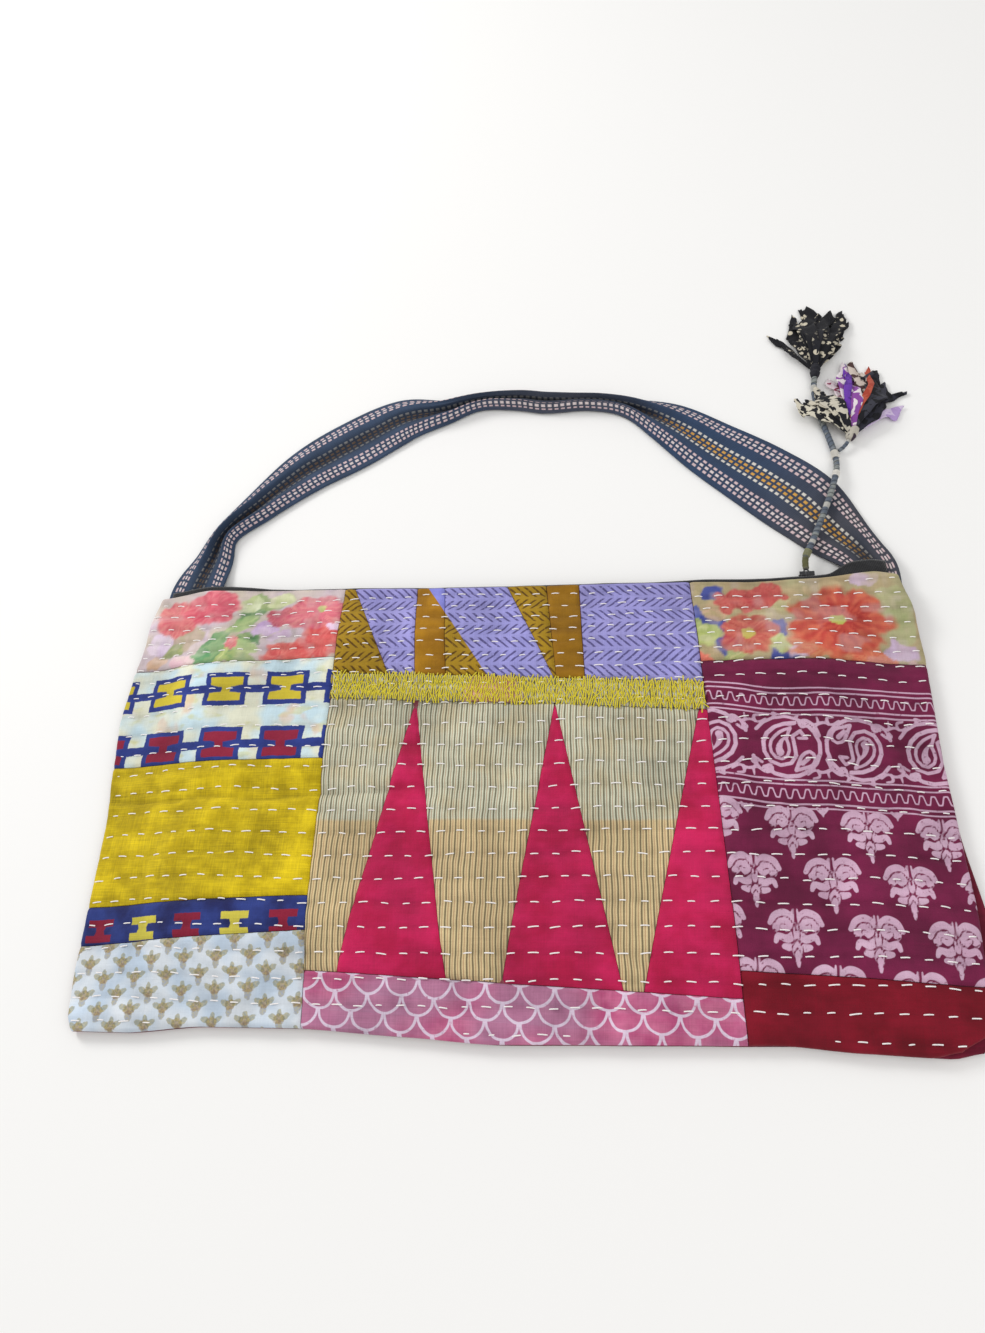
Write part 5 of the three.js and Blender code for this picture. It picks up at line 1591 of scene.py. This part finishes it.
def makeSlider():
    def paint(net, x, y):
        wear = net.noise(net.joined(x, y), 0.9, 3.0).over(0.62, 0.05)
        return net.blend(wear * 0.6, tint("17171a"), tint("5c5c60"))
    lacquer = clothMaterial("sliderLacquer", paint, rough=0.38, slub=0.02, blotch=0.1, crease=0.05,
                            threadBump=0.0, sheen=0.0, specular=0.6)
    share, reach = zipper["sliderShare"], zipper["across"] / bag["width"]
    edges = np.array([share - reach, share, share + reach])
    mouth = panelPoint(edges, np.ones(3))
    y = float(np.max(mouth[:, 1] + tapeShow(edges)))
    x = float(mouth[1, 0])
    z = bag["backQuilt"] + 2 * bag["gap"] + bag["tapeCloth"] + bag["chainThick"] / 2
    form = bmesh.new()
    for level in (-1, 1):
        plate = bmesh.ops.create_cube(form, size=1)["verts"]
        middle = (x, y + bag["gap"] + zipper["deep"] / 2, z + level * (zipper["high"] - zipper["plate"]) / 2)
        bmesh.ops.scale(form, vec=(zipper["across"], zipper["deep"], zipper["plate"]), verts=plate)
        bmesh.ops.translate(form, vec=middle, verts=plate)
    neck = bmesh.ops.create_cube(form, size=1)["verts"]
    bmesh.ops.scale(form, vec=(2.2, 1.2, zipper["high"] - 1.2), verts=neck)
    bmesh.ops.translate(form, vec=(x, y + bag["gap"] + zipper["deep"] - 0.7, z), verts=neck)
    bmesh.ops.bevel(form, geom=form.edges[:], offset=zipper["bevel"], segments=3, profile=0.5, affect="EDGES")
    count, sideCount = zipper["ringSteps"], zipper["wireSides"]
    centre = Vector((x, y + bag["gap"] + zipper["deep"] + zipper["ring"] * 0.7, z))
    rings = []
    for i in range(count):
        a = i * turn / count
        out = Vector((math.cos(a), math.sin(a), 0))
        rings.append([form.verts.new(centre + out * (zipper["ring"] + zipper["wire"] * math.cos(b))
                                     + Vector((0, 0, zipper["wire"] * math.sin(b))))
                      for b in (k * turn / sideCount for k in range(sideCount))])
    for i in range(count):
        for k in range(sideCount):
            near, far = rings[i], rings[(i + 1) % count]
            form.faces.new((near[k], far[k], far[(k + 1) % sideCount], near[(k + 1) % sideCount]))
    bmesh.ops.recalc_face_normals(form, faces=form.faces[:])
    form.verts.ensure_lookup_table()
    points = [tuple(v.co) for v in form.verts]
    faces = [tuple(v.index for v in face.verts) for face in form.faces]
    form.free()
    slider = meshObject("zip_slider_body", points, faces, lacquer)
    ready(slider, "slider_metal", "zip_slider")


makeTapes()
makeChain()
makeSlider()
print("zip made")

# Strap: a woven band; where it narrows it stands in two ridges and small pleats
strap = {
    "width": 50, "reach": 142, "tuck": 12, "ridge": 8, "drop": 28, "lip": 4, "looseGather": 1.5,
    "steps": 480, "facets": 56, "pleat": 1.3, "ripple": 0.6,
}
strapPath = [
    (-0.912, -0.085, 0.66), (-0.912, 0.03, 0.64), (-0.886, 0.2, 0.5), (-0.864, 0.335, 0.36),
    (-0.774, 0.482, 0.5), (-0.636, 0.676, 0.72), (-0.512, 0.797, 0.8), (-0.362, 0.922, 0.7),
    (-0.23, 0.958, 0.4), (-0.123, 0.996, 0.22), (0, 0.994, 0.28), (0.081, 0.972, 0.3),
    (0.21, 0.954, 0.2), (0.314, 0.922, 0.26), (0.438, 0.824, 0.6), (0.567, 0.662, 0.82),
    (0.686, 0.514, 0.94), (0.786, 0.373, 0.96), (0.857, 0.232, 0.78), (0.921, 0.1, 0.54),
    (0.948, 0.02, 0.5), (0.95, -0.085, 0.5),
]
# Rows of woven dashes: place across the band in millimetres, and colour
strapDashes = [(4.4, "d9bfc2"), (7.6, "e2d3d2"), (10.8, "d9bfc2"), (20.0, "dcd6cc"), (23.3, "d8a24c"),
               (26.7, "d8a24c"), (30.0, "dcd6cc"), (39.2, "d9bfc2"), (42.4, "e2d3d2"), (45.6, "d9bfc2")]


def paintStrap(net, x, y):
    tight, crease = net.named("tight"), abs(y - strap["width"] / 2)
    folded = tight.most(x.under(300, 60) * 0.9)
    # Painted shadow down the middle of the band, where it is gathered into two ridges and along its first 300
    # mm: the dashes fade into it
    valleyShadow = crease.under(7.0, 4.0) * folded
    fromLeft = x.over(430, 70)
    colour = net.blend(fromLeft, tint("3b4d68"), tint("484850"))
    colour = net.blend(abs(x - 400).under(55, 40) * 0.75, colour, tint("2b4568"))
    colour = net.blend(abs(x - 300).under(45, 40) * 0.55, colour, tint("625c5f"))
    colour = net.mottled(x, y, 0.06, 3.0, 0.5, 0.2, colour, tint("2b3547"), 0.4)
    cords = (y * (turn / 1.1)).sine()
    colour = net.blend(cords.over(0.3, 0.5) * 0.35, colour, tint("343b48"))
    lifts = None
    for k, (level, code) in enumerate(strapDashes):
        phase = (x / 3.9 + 0.08 * math.sin(k * 2.1)).fract()
        mask = abs(phase - 0.5).under(0.3, 0.08) * abs(y - level).under(0.95, 0.2)
        colour = net.blend(mask * (0.93 - valleyShadow * 0.6), colour, tint(code))
        lifts = mask if lifts is None else lifts.most(mask)
    # Painted shadow laid over the valley between the ridges
    colour = net.blend(valleyShadow * 0.82, colour, tint("0f141f"))
    return colour, lifts * 0.35 + cords * 0.08


def makeStrap():
    rows = np.array(strapPath) * [bag["width"] / 2, strap["reach"], strap["width"]] + [0, bag["height"], 0]
    line = smoothPath(rows, strap["steps"])
    ahead = np.gradient(line[:, :2], axis=0)
    ahead /= np.linalg.norm(ahead, axis=1, keepdims=True)
    walked = walkedAlong(line[:, :2])
    fromEnd = np.minimum(walked, walked[-1] - walked)
    width = line[:, 2]
    gather = strap["width"] / width
    opened = ramp(fromEnd, strap["tuck"] + strap["lip"], strap["tuck"] + strap["lip"] + strap["drop"])
    height = strap["ridge"] * np.maximum(0, 1 - 1 / gather) * opened
    foot = (bag["backQuilt"] + bag["gap"]) * (1 - opened)
    thick = bag["strapCloth"] * np.minimum(gather, mix(bag["seamGather"], strap["looseGather"], opened))
    share = np.linspace(0, 1, strap["facets"] + 1)
    down, across = np.meshgrid(walked, share, indexing="ij")
    ridge = height[:, None] * (1 - np.cos(share * 2 * turn))[None] / 2
    tight = np.clip(gather - 1.2, 0, 2)[:, None] / 2 * opened[:, None]
    pleat = strap["pleat"] * tight * np.sin(across * 44 + 0.02 * down) * np.sin(math.pi * across)
    ripple = strap["ripple"] * cloud(down, across * strap["width"], 13, 81) * np.sin(math.pi * across)
    top = (foot + thick)[:, None] + ridge + np.maximum(pleat, -0.7) * 0.8 + ripple * opened[:, None]
    top = np.maximum(top, foot[:, None] + 0.8)
    side = (share - 0.5)[None] * width[:, None]
    upper = np.zeros((len(line), len(share), 3))
    upper[..., 0] = line[:, 0][:, None] - ahead[:, 1][:, None] * side
    upper[..., 1] = line[:, 1][:, None] + ahead[:, 0][:, None] * side
    upper[..., 2] = top
    lower = upper.copy()
    lower[..., 2] = np.maximum(top - bag["strapCloth"], foot[:, None] + 0.05)
    uv = np.stack([down, across * strap["width"]], -1)
    woven = clothMaterial("strapWeave", paintStrap, map=True, slub=0.16, thread=0.9, threadBump=0.06,
                          crease=0.12)
    gathered = ramp(gather, 1.2, 2.2)[:, None] + 0 * across
    piece = sheetObject("strap_band", np.swapaxes(upper, 0, 1), np.swapaxes(lower, 0, 1), woven,
                        uv=np.swapaxes(uv, 0, 1), values={"tight": np.swapaxes(gathered, 0, 1)})
    ready(piece, "strap_weave", "strap")
    return walked[-1]


print("strap made,", round(makeStrap(), 1), "mm long")


# A pale table top and soft light from all round
room = {"floor": "f4f3f1", "floorReach": 6.0, "floorDrop": 0.0006, "sky": 0.66}
roomLights = {
    "windowLight": {"place": (-1.1, 0.9, 0.85), "size": 0.5, "power": 12},
    "roomLight": {"place": (0.8, -0.7, 1.3), "size": 1.4, "power": 7},
}


def makeStage():
    floorMaterial = bpy.data.materials.new("paleFloor")
    floorMaterial.use_nodes = True
    shader = floorMaterial.node_tree.nodes["Principled BSDF"]
    shader.inputs["Base Color"].default_value = tint(room["floor"])
    shader.inputs["Roughness"].default_value = 0.9
    shader.inputs["Specular IOR Level"].default_value = 0.1
    mesh = bpy.data.meshes.new("floor")
    reach = room["floorReach"]
    corners = [(-reach, -reach, 0), (reach, -reach, 0), (reach, reach, 0), (-reach, reach, 0)]
    mesh.from_pydata(corners, [], [(0, 1, 2, 3)])
    mesh.materials.append(floorMaterial)
    floor = bpy.data.objects.new("floor", mesh)
    floor.location.z = -room["floorDrop"]
    bpy.context.scene.collection.objects.link(floor)
    world = bpy.data.worlds.new("studio")
    world.use_nodes = True
    world.node_tree.nodes["Background"].inputs["Color"].default_value = (1, 1, 1, 1)
    world.node_tree.nodes["Background"].inputs["Strength"].default_value = room["sky"]
    bpy.context.scene.world = world
    for name, wanted in roomLights.items():
        data = bpy.data.lights.new(name, "AREA")
        data.size, data.energy = wanted["size"], wanted["power"]
        light = bpy.data.objects.new(name, data)
        light.location = wanted["place"]
        light.rotation_euler = (-Vector(wanted["place"])).to_track_quat("-Z", "Y").to_euler()
        bpy.context.scene.collection.objects.link(light)


makeStage()
bpy.context.scene.view_settings.view_transform = "Standard"
print("stage set")
